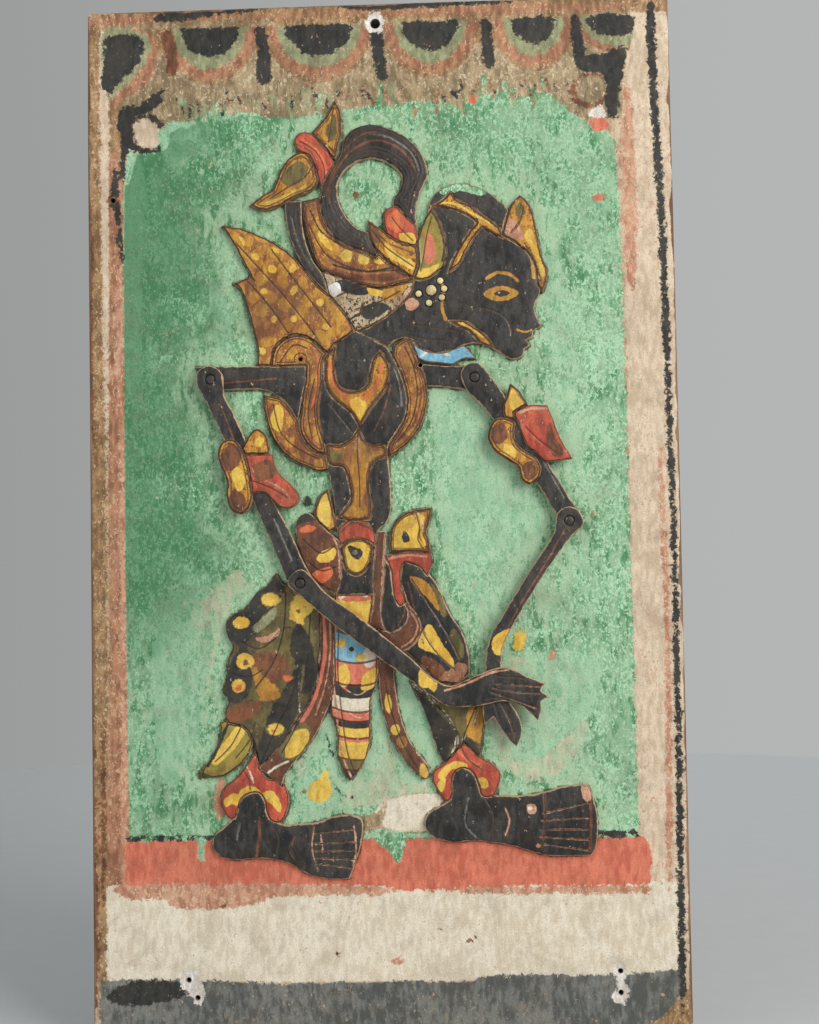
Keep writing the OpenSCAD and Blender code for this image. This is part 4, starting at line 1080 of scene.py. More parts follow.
# flaked spots, and wear along the edges and round the holes, whose insides are then darkened as painted shade
flaked = b.times(b.cut(b.noise(5.5, 3, 0.6, shift=(3, 7, 9)), 0.73, 0.75), 0.85)
colour = b.mix(flaked, colour, tone(196, 150, 124))
worn = b.cut(b.plus(b.attribute("edge_mm"), b.times(b.minus(cloud, 0.52), 9.0)), 1.5, 0.7)
worn = b.greater(worn, b.minus(1.0, b.attribute("painted_face")))
colour = b.mix(worn, colour, use(b, wood_grain, Dark=tone(104, 72, 50), Light=tone(158, 122, 92))["Colour"])
# painted shade: the insides of the holes and their very rims are darkened to a dark brown
hole_shade = b.cut(b.attribute("hole_mm"), 0.5, 0.0)
colour = b.mix(b.times(hole_shade, 0.8), colour, tone(46, 36, 30))
old = use(b, old_dirt, Colour=colour, Amount=0.22)
relief = use(b, brush_relief, Cover=shapes["Cover"], Worn=b.greater(worn, flaked), Specks=base["Specks"])
PAINT["board_paint"] = new_material("painted plank", old["Colour"], b.cut(streak, 0.3, 0.7, 0.55, 0.75),
                                    relief["Height mm"])

# %% The finished plank
plank = build("plank", every, triangles + walls, PAINT["board_paint"], values)
shape = bmesh.new()
shape.from_mesh(plank.data)
bmesh.ops.recalc_face_normals(shape, faces=shape.faces)
shape.to_mesh(plank.data)
shape.free()
plank.data.set_sharp_from_angle(angle=SHARP)
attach(plank, "panel")
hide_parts("back_board")
total_triangles += len(triangles) + 2 * len(walls)

# %% [markdown]
# The head is one flat black piece with a gold harness. A shadow-play head is always in profile, so the face here is
# a plain one of its own: a long lowered eye, a brow line, and a small calm mouth. The skull swells towards the viewer
# a little more than the rest, and the hair strokes at the nape are cut with a gouge.

# %% The head, its crown and its ear ornament
carve("head", "panel", "black_paint", swell=0.5, edge=1.1,
      marks=[("green", patch((36, 489), (48, 492), (62, 487), (60, 484), (48, 487), (38, 485))),
             ("pink", patch((15, 424), (19, 426), (23, 423), (21, 419), (16, 419))),
             ("gold", stroke(2.2, (82, 462), (86, 454), (88.5, 444), (89, 436))),
             ("gold", stroke(1.8, (62, 436), (68, 439), (75, 438), (80, 434))),
             ("gold", patch((60, 427), (66, 431), (73, 431), (80, 427), (74, 423), (66, 423))),
             ("black", patch((66, 427), (70, 429), (75, 427), (70, 425))),
             ("cream", oval(69, 427.6, 0.7)),
             ("gold", stroke(1.0, (79, 406), (83, 404.5), (87, 405.5))),
             ("gold", stroke(1.7, (36, 436), (37, 428), (36, 420), (38, 413)))],
      cuts=[gouge(0.5, 0.9, (58, 419), (66, 417), (73, 412), (76, 404)),
            gouge(0.5, 0.8, (2, 399), (14, 404), (26, 402), (40, 400)),
            gouge(0.4, 0.8, (20, 410), (32, 408), (44, 406))])
carve("crown_straps", "panel", "gold_paint", swell=0.2, edge=0.6,
      marks=[("yellow", stroke(1.2, (36, 481), (46, 479), (56, 473), (66, 467))),
             ("yellow", stroke(1.0, (45, 445), (51, 455), (58, 465)))])
carve("crown_front", "panel", "gold_paint",
      marks=[("pink", patch((72, 465), (76, 470), (80, 468), (84, 459), (80, 458), (75, 460))),
             ("yellow", patch((84, 460), (88, 452), (91, 442), (94, 436), (95, 440), (92, 452), (88, 464))),
             ("olive", patch((79, 474), (82, 480), (85, 474), (82, 470))),
             ("brown", stroke(0.8, (77, 462), (81, 467), (83, 472)))],
      cuts=[gouge(0.5, 0.8, (76, 462), (82, 470), (84, 478)), gouge(0.4, 0.7, (84, 456), (90, 446), (93, 434))])
carve("chin_strap", "panel", "gold_paint", swell=0.2, edge=0.6,
      marks=[("yellow", stroke(1.4, (44, 411), (52, 408), (59, 402)))])
carve("collar", "panel", "blue_paint", swell=0.25, edge=0.7,
      marks=[("cream", stroke(1.3, (24, 392), (30, 396), (40, 392)))])

# %% The hair: a great ring of a curl, the band round it, and two gilded leaves at its tip
HAIR_STRANDS = [(2.2, 0.35), (4.4, 0.4), (6.6, 0.35)]
carve("hair_curl", "panel", "black_paint", swell=0.9, edge=1.6, rings=HAIR_STRANDS,
      marks=[("brown", stroke(1.3, (-28, 482), (-26, 497), (-15, 512), (0, 518), (14, 512), (21, 502))),
             ("brown", stroke(0.9, (-30, 486), (-26, 500), (-17, 515), (-4, 523), (10, 519))),
             ("slate", stroke(1.0, (24, 500), (20, 510), (8, 519), (-4, 522)))])
carve("nape_crescent", "panel", "black_paint", swell=0.5, edge=1.1, rings=[(3.0, 0.35)],
      marks=[("slate", stroke(1.0, (-50, 474), (-46, 458), (-38, 444)))])
carve("hair_band", "panel", "brown_gold_paint", rings=[(1.7, 0.3)],
      marks=[("gold", patch((-38, 466), (-35, 457), (-28, 452), (-22, 452), (-24, 459), (-31, 466), (-36, 474))),
             ("yellow", patch((-35, 464), (-32, 458), (-27, 455), (-29, 461), (-33, 467))),
             ("black", stroke(1.0, (-39, 478), (-33, 466), (-22, 458), (-10, 455))),
             ("yellow", patch((-22, 452), (-19, 455), (-15, 453), (-16, 448), (-20, 448))),
             ("yellow", patch((-12, 450), (-9, 453), (-5, 451), (-6, 446), (-10, 446))),
             ("yellow", patch((-3, 450), (0, 454), (4, 451), (3, 446), (-1, 446))),
             ("brown", patch((-26, 444), (-10, 440), (6, 441), (16, 446), (20, 440), (6, 436), (-12, 437),
                             (-26, 441))),
             ("black", stroke(1.1, (-26, 446), (-10, 442), (4, 443), (14, 446)))],
      cuts=[gouge(0.5, 0.9, (-40, 470), (-30, 452), (-12, 443), (6, 442), (18, 444))])
carve("hair_base", "panel", "bare_gesso", rough=0.22,
      marks=[("black", patch((-26, 436), (-14, 438), (-4, 434), (-8, 428), (-20, 430))),
             ("gesso", patch((-30, 433), (-24, 436), (-22, 430), (-27, 428))),
             ("yellow", patch((-6, 434), (4, 434), (10, 430), (2, 427), (-6, 429))),
             ("gold", patch((4, 424), (12, 428), (17, 434), (12, 436), (2, 430))),
             ("black", patch((-10, 420), (-2, 424), (6, 421), (0, 416), (-8, 414))),
             ("pink", patch((14, 424), (19, 427), (20, 431), (15, 430)))],
      cuts=[gouge(0.7, 1.1, (-24, 428), (-10, 433), (2, 431)), gouge(0.6, 1.0, (-14, 420), (0, 424), (12, 430)),
            gouge(0.5, 1.3, (-18, 414), (-6, 420))])
carve("hair_tip_upper_leaf", "panel", "gold_paint", rings=[(2.0, 0.3)],
      marks=[("olive", patch((-27, 530), (-24, 534), (-23, 524), (-26, 518), (-29, 523))),
             ("brown", stroke(1.0, (-36, 521), (-29, 516), (-24, 512)))],
      cuts=[gouge(0.5, 0.8, (-25, 541), (-26, 530), (-28, 518))])
carve("hair_tip_band", "panel", "red_paint", swell=0.5,
      marks=[("orange", stroke(1.6, (-43, 520), (-35, 513), (-30, 504), (-30, 495))),
             ("brown", stroke(0.9, (-46, 517), (-38, 512), (-34, 502)))],
      cuts=[gouge(0.5, 0.8, (-45, 519), (-36, 513), (-31, 504), (-31, 493))])
carve("hair_tip_lower_leaf", "panel", "gold_paint", rings=[(2.4, 0.35)],
      marks=[("yellow", stroke(2.2, (-70, 482), (-60, 484), (-50, 488), (-42, 492))),
             ("olive", patch((-52, 503), (-45, 507), (-40, 502), (-44, 495), (-52, 493), (-56, 497))),
             ("brown", stroke(0.9, (-56, 500), (-50, 507), (-42, 509), (-37, 503), (-38, 496)))],
      cuts=[gouge(0.5, 0.9, (-62, 486), (-52, 492), (-42, 498), (-36, 506))])

# %% The crest of two leaves with a bud between them
carve("crest_left_leaf", "panel", "gold_paint",
      marks=[("brown", patch((-5, 470), (0, 466), (1, 458), (-3, 460), (-5, 465))),
             ("yellow", patch((4, 458), (12, 451), (20, 447), (20, 442), (12, 446), (5, 451))),
             ("brown", stroke(1.0, (-4, 468), (6, 458), (20, 452)))],
      cuts=[gouge(0.5, 0.9, (-4, 466), (4, 456), (13, 449), (20, 444))])
carve("crest_bud", "panel", "red_paint", swell=0.6,
      marks=[("orange", patch((5, 473), (11, 477), (15, 471), (13, 464), (7, 466))),
             ("yellow", patch((12, 463), (20, 463), (22, 457), (15, 457)))],
      cuts=[gouge(0.4, 0.8, (8, 473), (13, 466), (20, 459))])
carve("crest_right_leaf", "panel", "olive_paint",
      marks=[("red", patch((28, 464), (31, 461), (33, 454), (32, 447), (28, 445), (26, 450), (27, 458))),
             ("yellow", patch((21, 441), (28, 443), (35, 445), (31, 440), (25, 437))),
             ("black", stroke(1.2, (31, 476), (35, 468), (38, 456), (37, 447))),
             ("sage", stroke(1.3, (24, 462), (24, 452), (25, 445)))],
      cuts=[gouge(0.5, 0.8, (31, 473), (28, 462), (26, 450), (24, 441))])

# %% [markdown]
# The wing and the halo behind the shoulders are brown with ochre touches laid on with the same round brush, some
# ten millimetres apart. Their places are drawn at random once, with a fixed seed, and kept apart from each other,
# so they look dabbed on by hand.

# %% The wing and the halo
def dabs(count, inside, seed, size=(3.0, 4.6), gap=8.0):
    """Round-ish touches of a brush, kept apart, inside a box of x0, x1, z0, z1."""
    rng = np.random.default_rng(seed)
    placed = []
    for _ in range(count * 30):
        px, pz = rng.uniform(inside[0], inside[1]), rng.uniform(inside[2], inside[3])
        if all(math.hypot(px - qx, pz - qz) > gap for qx, qz in placed):
            placed.append((px, pz))
        if len(placed) == count:
            break
    return [oval(px, pz, rng.uniform(*size), rng.uniform(*size) * 0.8, rng.uniform(0, 180)) for px, pz in placed]


def feather(*points):
    return gouge(0.55, 0.9, *points)


carve("back_wing", "panel", "brown_gold_paint", swell=0.5,
      marks=[("gold", dab) for dab in dabs(64, (-92, -18, 388, 470), 5, size=(3.4, 5.4), gap=7.2)]
      + [("yellow", dab) for dab in dabs(20, (-88, -30, 396, 466), 11, size=(1.8, 3.0), gap=11)]
      + [("gold", patch((-90, 470), (-82, 466), (-76, 452), (-72, 440), (-78, 446), (-84, 458))),
         ("black", stroke(1.2, (-89, 468), (-83, 458), (-77, 446), (-72, 438))),
         ("black", stroke(1.0, (-82, 436), (-77, 424), (-73, 410), (-70, 394)))],
      cuts=[feather((-84, 462), (-70, 446), (-56, 430), (-42, 412), (-34, 400)),
            feather((-76, 438), (-66, 426), (-56, 412), (-48, 398)),
            feather((-62, 456), (-52, 442), (-40, 426), (-28, 410))])
carve("halo_left_inner", "panel", "brown_gold_paint", rings=[(2.2, 0.3)],
      marks=[("gold", dab) for dab in dabs(16, (-60, -32, 345, 402), 21, size=(2.6, 4.2), gap=7)]
      + [("orange", stroke(1.3, (-40, 400), (-36, 392), (-36, 378), (-40, 364)))],
      cuts=[feather((-58, 390), (-50, 400), (-42, 398)), feather((-40, 346), (-42, 362), (-38, 380))])
carve("halo_left_outer", "panel", "brown_gold_paint", rings=[(2.0, 0.3)],
      marks=[("gold", dab) for dab in dabs(14, (-66, -34, 330, 370), 23, size=(2.8, 4.4), gap=7.5)]
      + [("yellow", patch((-64, 356), (-60, 366), (-56, 362), (-58, 350)))],
      cuts=[feather((-62, 366), (-58, 350), (-48, 340), (-36, 334))])
carve("halo_right", "panel", "brown_gold_paint", rings=[(2.0, 0.3)],
      marks=[("gold", dab) for dab in dabs(16, (8, 26, 340, 400), 29, size=(2.6, 4.2), gap=7)]
      + [("brown", stroke(1.4, (18, 396), (22, 382), (23, 368), (19, 354), (10, 344)))],
      cuts=[feather((14, 398), (19, 386), (21, 370), (17, 354), (8, 342))])

# %% The body, with what is let into it
carve("torso", "panel", "black_paint", swell=0.6, edge=1.1,
      marks=[("brown", stroke(0.9, (-4, 350), (2, 362), (6, 376))),
             ("slate", stroke(1.2, (8, 386), (11, 376), (12, 364)))],
      cuts=[gouge(0.5, 0.9, (-30, 366), (-22, 356), (-16, 348)), gouge(0.4, 0.9, (2, 392), (9, 384), (12, 372))])
carve("necklace", "panel", "gold_paint", swell=0.25, edge=0.7, rings=[(1.6, 0.25)],
      marks=[("orange", stroke(1.6, (-29, 390), (-28, 380), (-22, 371), (-15, 366), (-8, 370), (-1, 378), (1, 388))),
             ("yellow", patch((-18, 366), (-12, 355), (-8, 364), (-13, 369)))])
carve("chest_knot", "panel", "brown_gold_paint", swell=0.25, edge=0.7, rings=[(1.6, 0.25)],
      marks=[("olive", patch((-30, 339), (-22, 337), (-24, 333), (-29, 333))),
             ("gold", patch((-8, 337), (0, 338), (-2, 334), (-9, 332))),
             ("gold", patch((-17, 336), (-12, 344), (-8, 334), (-10, 314), (-15, 308), (-17, 320))),
             ("gold", patch((-22, 306), (-16, 312), (-9, 306), (-12, 300), (-20, 300))),
             ("pink", stroke(1.2, (-13, 350), (-13, 340), (-12, 332)))],
      cuts=[gouge(0.4, 0.8, (-13, 350), (-14, 338), (-13, 322), (-13, 306))])
carve("belt_top", "panel", "red_paint", swell=0.25, edge=0.7,
      marks=[("brown", stroke(1.2, (-25, 291), (-17, 297), (-8, 294)))])
carve("belt_shield", "panel", "gold_paint", swell=0.25, edge=0.7, rings=[(1.6, 0.2)],
      marks=[("yellow", oval(-15, 278, 8, 9)),
             ("black", patch((-20, 284), (-12, 281), (-14, 276), (-18, 278))),
             ("slate", oval(-16, 280, 1.8, 1.3))])

# %% [markdown]
# The arms are the moving pieces. Each upper arm turns on a peg in the shoulder, and each forearm on a peg in the
# elbow. The armbands wrap over the front and the sides of the upper arms and turn with them. The bracelets are paint.

# %% The shoulders and the arms
carve("left_shoulder", "panel", "black_paint", swell=0.5, edge=1.0,
      marks=[("brown", stroke(0.8, (-90, 379), (-60, 381)))])
carve("right_shoulder", "panel", "black_paint", swell=0.5, edge=1.0)
ARM = {"swell": 0.3, "edge": 0.9}
carve("left_upper_arm", "left_upper_arm", "black_paint", **ARM,
      marks=[("brown", stroke(0.8, (-92, 366), (-84, 344), (-76, 322))),
             ("slate", stroke(0.9, (-62, 300), (-52, 276)))])
carve("right_upper_arm", "right_upper_arm", "black_paint", **ARM,
      marks=[("slate", stroke(0.9, (92, 330), (104, 308)))])
carve("left_forearm", "left_forearm", "black_paint", **ARM,
      marks=[("yellow", patch((20, 213), (23, 214), (27, 211), (30, 207), (29, 202), (28, 200.5), (25, 203),
                              (20, 204))),
             ("pink", stroke(1.0, (34, 201.5), (46, 205), (60, 211), (70, 212.5))),
             ("pink", stroke(0.7, (62, 205), (74, 204), (87, 203))),
             ("pink", stroke(0.7, (61, 202.5), (74, 200), (88, 199))),
             ("pink", stroke(0.7, (60, 200), (72, 196), (84, 191)))],
      cuts=[gouge(0.7, 0.9, (62, 205), (74, 204), (90, 203)), gouge(0.7, 0.9, (61, 202.5), (74, 200), (90, 199)),
            gouge(0.7, 0.9, (60, 200), (72, 196), (86, 191)), gouge(0.5, 0.8, (64, 209), (76, 208), (86, 206)),
            gouge(0.4, 0.8, (56, 196), (64, 197), (72, 194))])
carve("right_forearm", "right_forearm", "black_paint", **ARM,
      marks=[("yellow", patch((62, 222), (61, 228), (65, 233), (72, 236), (73, 235), (70, 228), (67, 221))),
             ("brown", stroke(0.8, (104, 292), (92, 272), (78, 250), (68, 232))),
             ("pink", stroke(0.7, (66, 192), (70, 184), (73, 174)))],
      cuts=[gouge(0.7, 0.9, (65, 194), (70, 184), (73, 173)), gouge(0.7, 0.9, (61, 196), (63, 188), (65, 181))])
BAND = {"swell": 0.4, "edge": 1.1, "step": 0.7}
carve("left_armband_scroll", "left_upper_arm", "gold_paint", **BAND, rings=[(2.6, 0.4)],
      marks=[("brown", patch((-92, 336), (-86, 344), (-80, 338), (-83, 330), (-90, 328))),
             ("brown", patch((-88, 312), (-84, 318), (-78, 312), (-80, 305), (-86, 306))),
             ("yellow", patch((-86, 326), (-82, 330), (-78, 322), (-82, 316)))])
carve("left_armband_leaf", "left_upper_arm", "red_paint", **BAND,
      marks=[("brown", patch((-74, 330), (-64, 334), (-60, 326), (-66, 322), (-72, 322))),
             ("rust", stroke(1.2, (-66, 322), (-56, 316), (-52, 310)))],
      cuts=[gouge(0.6, 0.9, (-74, 322), (-64, 318), (-54, 312))])
carve("left_armband_tip", "left_upper_arm", "gold_paint", **BAND, marks=[("yellow", oval(-70, 344, 3.2, 2.4, 40))])
carve("right_armband_scroll", "right_upper_arm", "gold_paint", **BAND, rings=[(2.4, 0.4)],
      marks=[("brown", patch((64, 350), (70, 352), (72, 344), (67, 340), (63, 343))),
             ("brown", patch((80, 328), (86, 330), (88, 323), (83, 320))),
             ("yellow", patch((70, 340), (76, 338), (76, 332), (70, 334)))])
carve("right_armband_leaf", "right_upper_arm", "red_paint", **BAND,
      marks=[("pink", stroke(1.4, (79, 358), (86, 360), (93, 360))),
             ("brown", patch((96, 352), (99, 344), (104, 334), (98, 333), (94, 342)))],
      cuts=[gouge(0.6, 0.9, (82, 350), (90, 342), (100, 334))])
carve("right_armband_tip", "right_upper_arm", "gold_paint", **BAND,
      marks=[("yellow", patch((73, 364), (75, 371), (79, 367), (82, 361), (77, 358)))])

# %% [markdown]
# At the waist hang a dagger with a gilded handle, a sash, and a dark drop. All are small flat carvings, and the
# painter has set them off with yellow on dark brown, and with black lines where one lies over another.

# %% The waist
carve("waist_leaf", "panel", "gold_paint", edge=0.8,
      marks=[("yellow", patch((-37, 300), (-36, 309), (-32, 314), (-30, 306), (-30, 297), (-34, 294))),
             ("black", stroke(0.9, (-30, 316), (-28, 306), (-27, 297)))])
carve("hip_sash", "panel", "brown_paint",
      marks=[("black", patch((-51, 296), (-47, 303), (-41, 303), (-38, 299), (-44, 298))),
             ("orange", oval(-43, 294, 4.6, 2.1, 10)),
             ("yellow", patch((-38, 278), (-33, 282), (-28, 283), (-27, 279), (-31, 275), (-37, 275))),
             ("orange", patch((-41, 268), (-36, 271), (-30, 272), (-29, 268), (-34, 263), (-39, 264))),
             ("pink", stroke(0.9, (-36, 297), (-29, 290), (-25.5, 280), (-25, 266)))],
      cuts=[gouge(0.5, 0.9, (-46, 288), (-36, 280), (-28, 284)), gouge(0.5, 0.8, (-44, 276), (-36, 270), (-27, 272))])
carve("kris_handle", "panel", "gold_paint", rings=[(1.9, 0.3)],
      marks=[("yellow", patch((6, 282), (6, 292), (12, 299), (20, 301), (24, 300), (22, 292), (24, 283))),
             ("black", patch((12, 292), (14.5, 290), (15, 286), (12, 285), (11, 288))),
             ("brown", stroke(1.0, (18, 301), (21, 294), (21, 288), (25, 282))),
             ("cream", stroke(0.9, (20, 302), (23, 297), (23, 291)))],
      cuts=[gouge(0.6, 0.8, (19, 302), (21, 294), (20, 287), (23, 281))])
carve("kris_guard", "panel", "red_paint", edge=0.7, marks=[("pink", stroke(1.2, (3, 276), (14, 278), (25, 277)))])
carve("front_sash", "panel", "brown_paint", edge=0.7,
      marks=[("pink", stroke(0.8, (1, 290), (0, 276), (-1, 262), (-2, 246))),
             ("pink", stroke(0.8, (-6, 288), (-6, 270), (-6, 252), (-8, 240)))])
carve("front_drop", "panel", "black_paint", edge=0.8,
      marks=[("brown", stroke(0.8, (2, 274), (8, 262), (12, 248), (8, 238)))])
carve("front_round", "panel", "brown_paint", edge=0.8,
      marks=[("pink", stroke(0.9, (15, 246), (19, 238), (16, 230), (10, 226)))])

# %% [markdown]
# The cloths are painted more freely than the rest: yellow flowers and dark leaves on olive and black, and stripes
# across the apron. Gouge cuts follow the way each cloth hangs.

# %% The cloths of the left leg
carve("left_skirt", "panel", "skirt_paint", swell=0.5,
      marks=[("olive", patch((-74, 262), (-56, 262), (-42, 240), (-40, 214), (-52, 190), (-66, 178), (-80, 196),
                             (-72, 226))),
             ("black", patch((-60, 276), (-70, 262), (-88, 248), (-92, 236), (-84, 226), (-92, 212), (-88, 196),
                             (-78, 200), (-76, 216), (-78, 232), (-66, 246), (-56, 262))),
             ("brown", patch((-76, 222), (-62, 224), (-54, 216), (-58, 208), (-68, 206), (-76, 210))),
             ("brown", patch((-92, 190), (-80, 196), (-70, 196), (-74, 188), (-88, 184))),
             ("sage", patch((-76, 238), (-70, 244), (-62, 250), (-62, 244), (-68, 238), (-73, 235))),
             ("pink", patch((-74, 232), (-66, 234), (-60, 238), (-60, 234), (-68, 229))),
             ("black", patch((-50, 240), (-42, 230), (-40, 206), (-48, 200), (-50, 214), (-54, 226))),
             ("black", patch((-50, 214), (-56, 206), (-68, 186), (-74, 160), (-66, 158), (-60, 170), (-50, 192))),
             ("olive", stroke(2.2, (-46.5, 216), (-47.5, 207), (-49, 200))),
             ("brown", stroke(1.4, (-72, 250), (-62, 256), (-52, 262))),
             ("black", stroke(1.0, (-64, 232), (-56, 238), (-46, 236))),
             ("black", stroke(1.0, (-74, 204), (-66, 198), (-60, 188))),
             ("yellow", oval(-65, 254, 5.6, 4.2)), ("yellow", oval(-82, 241, 5.2, 3.9)),
             ("yellow", oval(-80.5, 219, 5.0)), ("brown", oval(-80, 218, 2.2)),
             ("yellow", oval(-84, 205, 4.3)), ("yellow", oval(-63, 180, 5.4, 3.7)),
             ("orange", oval(-84, 204, 1.4)), ("orange", oval(-64, 179, 1.6, 1.0)),
             ("gold", patch((-76, 215), (-70, 211), (-64, 206), (-61, 203), (-60, 198), (-70, 196), (-73, 200))),
             ("yellow", patch((-54, 243), (-53, 252), (-50, 257), (-45, 254), (-40, 250), (-42, 246), (-46, 243),
                              (-47, 239))),
             ("brown", oval(-49, 247, 1.8, 1.3)), ("brown", oval(-45, 249.5, 1.2, 0.9)),
             ("orange", oval(-55, 209, 2.8, 1.7)),
             ("cream", stroke(0.8, (-49, 212), (-49.5, 200), (-49, 190)))],
      cuts=[gouge(0.7, 1.0, (-56, 258), (-58, 236), (-64, 218), (-74, 204)),
            gouge(0.6, 0.9, (-50, 214), (-54, 198), (-64, 178), (-72, 160)),
            gouge(0.5, 0.9, (-42, 246), (-44, 226), (-46, 208)), gouge(0.5, 0.9, (-82, 230), (-72, 226), (-62, 232)),
            gouge(0.5, 0.8, (-88, 212), (-78, 210), (-70, 214))])
carve("left_fold_band", "panel", "brown_paint", swell=0.5,
      marks=[("red", stroke(2.2, (-35, 246), (-34, 226), (-37, 208), (-43, 192), (-50, 182))),
             ("pink", stroke(0.8, (-31.5, 248), (-31, 226), (-34, 206), (-40, 188))),
             ("olive", patch((-58, 178), (-50, 184), (-43, 180), (-46, 168), (-56, 162), (-62, 168))),
             ("yellow", patch((-57, 172), (-52, 179), (-45, 180), (-44, 174), (-50, 166), (-57, 164))),
             ("cream", stroke(1.3, (-72, 152), (-64, 158), (-56, 162)))],
      cuts=[gouge(0.6, 0.9, (-36, 250), (-36, 226), (-40, 206), (-48, 188), (-60, 166))])
carve("tail_cloth", "panel", "olive_paint", swell=0.5,
      marks=[("yellow", patch((-100, 166), (-92, 174), (-84, 184), (-80, 190), (-80, 180), (-88, 168), (-98, 160))),
             ("black", stroke(1.6, (-102, 160), (-96, 170), (-91, 182), (-88, 188))),
             ("brown", patch((-74, 180), (-70, 190), (-67, 180), (-74, 168)))],
      cuts=[gouge(0.6, 0.9, (-98, 162), (-88, 172), (-80, 188)), gouge(0.4, 0.8, (-86, 164), (-78, 174), (-73, 184))])

# %% The apron, striped across in many colours
APRON_STRIPES = [("red", 256, 268), ("yellow", 240, 256), ("slate", 236, 241), ("blue", 214, 237), ("red", 207, 221),
                 ("black", 200, 209), ("cream", 191, 201), ("red", 187, 193), ("black", 182, 188),
                 ("yellow", 177, 184), ("red", 174, 179), ("yellow", 165, 176), ("olive", 159, 166),
                 ("black", 150, 160)]


def sagging(low, high, middle=-16.0, half=16.0, sag=4.0):
    """A stripe across the apron that hangs down in the middle."""
    def distance(x, z):
        lifted = z + sag * (1 - ((x - middle) / half) ** 2)
        return np.maximum(lifted - high, low - lifted)
    return distance


carve("apron", "panel", "red_paint", swell=0.5,
      marks=[(colour, sagging(low, high)) for colour, low, high in APRON_STRIPES]
      + [("pink", stroke(1.6, (-28, 240), (-30, 214), (-28, 190), (-26, 168), (-20, 152))),
         ("pink", stroke(1.4, (-2, 236), (-2, 212), (-6, 186), (-7, 166), (-12, 152))),
         ("yellow", patch((-27, 214), (-22, 216), (-20, 207), (-24, 203), (-27, 208))),
         ("yellow", patch((-14, 202), (-12, 210), (-5, 214), (-4, 207), (-8, 202))),
         ("cream", patch((-12, 224), (-6, 228), (-4, 220), (-8, 214), (-12, 216))),
         ("yellow", patch((-28, 230), (-23, 231), (-22, 227), (-27, 226))),
         ("yellow", oval(-14, 220, 3, 2.2, 30)), ("black", oval(-19, 225, 1.5)),
         ("cream", patch((-26, 258), (-18, 262), (-9, 259), (-10, 254), (-18, 257), (-25, 253))),
         ("cream", stroke(0.9, (-26, 205), (-16, 199), (-6, 205))),
         ("cream", stroke(0.9, (-22, 190), (-15, 186), (-8, 190)))],
      cuts=[(0.45, 0.8, sagging(level - 0.2, level + 0.2)) for level in (241, 221, 208, 193, 187.5, 178, 166, 160)]
      + [gouge(0.5, 0.9, (-26, 236), (-27, 212), (-25, 188), (-22, 166), (-16, 150)),
         gouge(0.5, 0.9, (-5, 232), (-5, 210), (-9, 186), (-10, 166), (-14, 150))])

# %% The cloths of the right leg
carve("right_skirt", "panel", "black_paint", swell=0.5,
      marks=[("gold", patch((15, 266), (20, 265), (25, 262), (29, 256), (32, 249), (31, 246), (26, 252), (20, 258),
                            (16, 263))),
             ("olive", patch((27, 262), (33, 254), (36, 244), (33, 243), (30, 252))),
             ("rust", patch((26, 204), (34, 206), (42, 206), (47, 213), (42, 217), (36, 212), (28, 210))),
             ("brown", patch((21, 220), (27, 219), (34, 212), (28, 207), (21, 211))),
             ("yellow", patch((24, 238), (19, 228), (22, 224), (30, 221), (38, 214), (39, 218), (33, 227), (28, 236))),
             ("brown", stroke(1.0, (14, 262), (18, 244), (22, 228))),
             ("olive", patch((37, 232), (40, 236), (45, 226), (44, 218), (40, 222))),
             ("pink", stroke(0.9, (10, 262), (14, 250), (22, 236), (30, 222)))],
      cuts=[gouge(0.7, 0.9, (16, 264), (24, 252), (34, 236), (43, 218)),
            gouge(0.6, 0.9, (14, 252), (20, 238), (28, 224), (40, 212))])
carve("right_fold_band", "panel", "brown_paint", edge=0.8,
      marks=[("yellow", oval(1.5, 194, 2.0, 5.2, 5)), ("yellow", oval(5.5, 179, 2.6, 3.0)),
             ("gold", oval(9, 172, 3.0, 3.4)), ("yellow", oval(21, 155, 2.4, 4.4, 10)),
             ("pink", stroke(0.7, (5, 204), (8, 188), (14, 172), (22, 160)))],
      cuts=[gouge(0.5, 0.8, (0, 206), (3, 190), (9, 172), (18, 156))])
carve("right_leg_cloth", "panel", "skirt_paint", swell=0.45,
      marks=[("olive", patch((22, 206), (44, 204), (58, 190), (48, 174), (40, 178), (34, 192))),
             ("black", patch((20, 197), (30, 188), (37, 178), (36, 168), (32, 158), (28, 172), (24, 185))),
             ("gold", patch((48, 192), (55, 190), (55, 178), (52, 171), (46, 176), (46, 184))),
             ("black", patch((45, 173), (50, 172), (53, 164), (49, 160))),
             ("cream", stroke(1.0, (16, 204), (28, 194), (38, 182), (40, 172), (34, 156))),
             ("cream", stroke(1.0, (54, 196), (50, 182), (44, 172), (50, 158)))],
      cuts=[gouge(0.6, 0.9, (16, 204), (28, 194), (38, 181), (40, 171), (34, 154)),
            gouge(0.6, 0.9, (54, 196), (48, 184), (44, 171), (51, 156))])

# %% [markdown]
# The red anklets have yellow arcs. On the black feet the toes are cut apart with a fine gouge, and the
# cuts have worn to the pale wood, so they read as light lines on black.

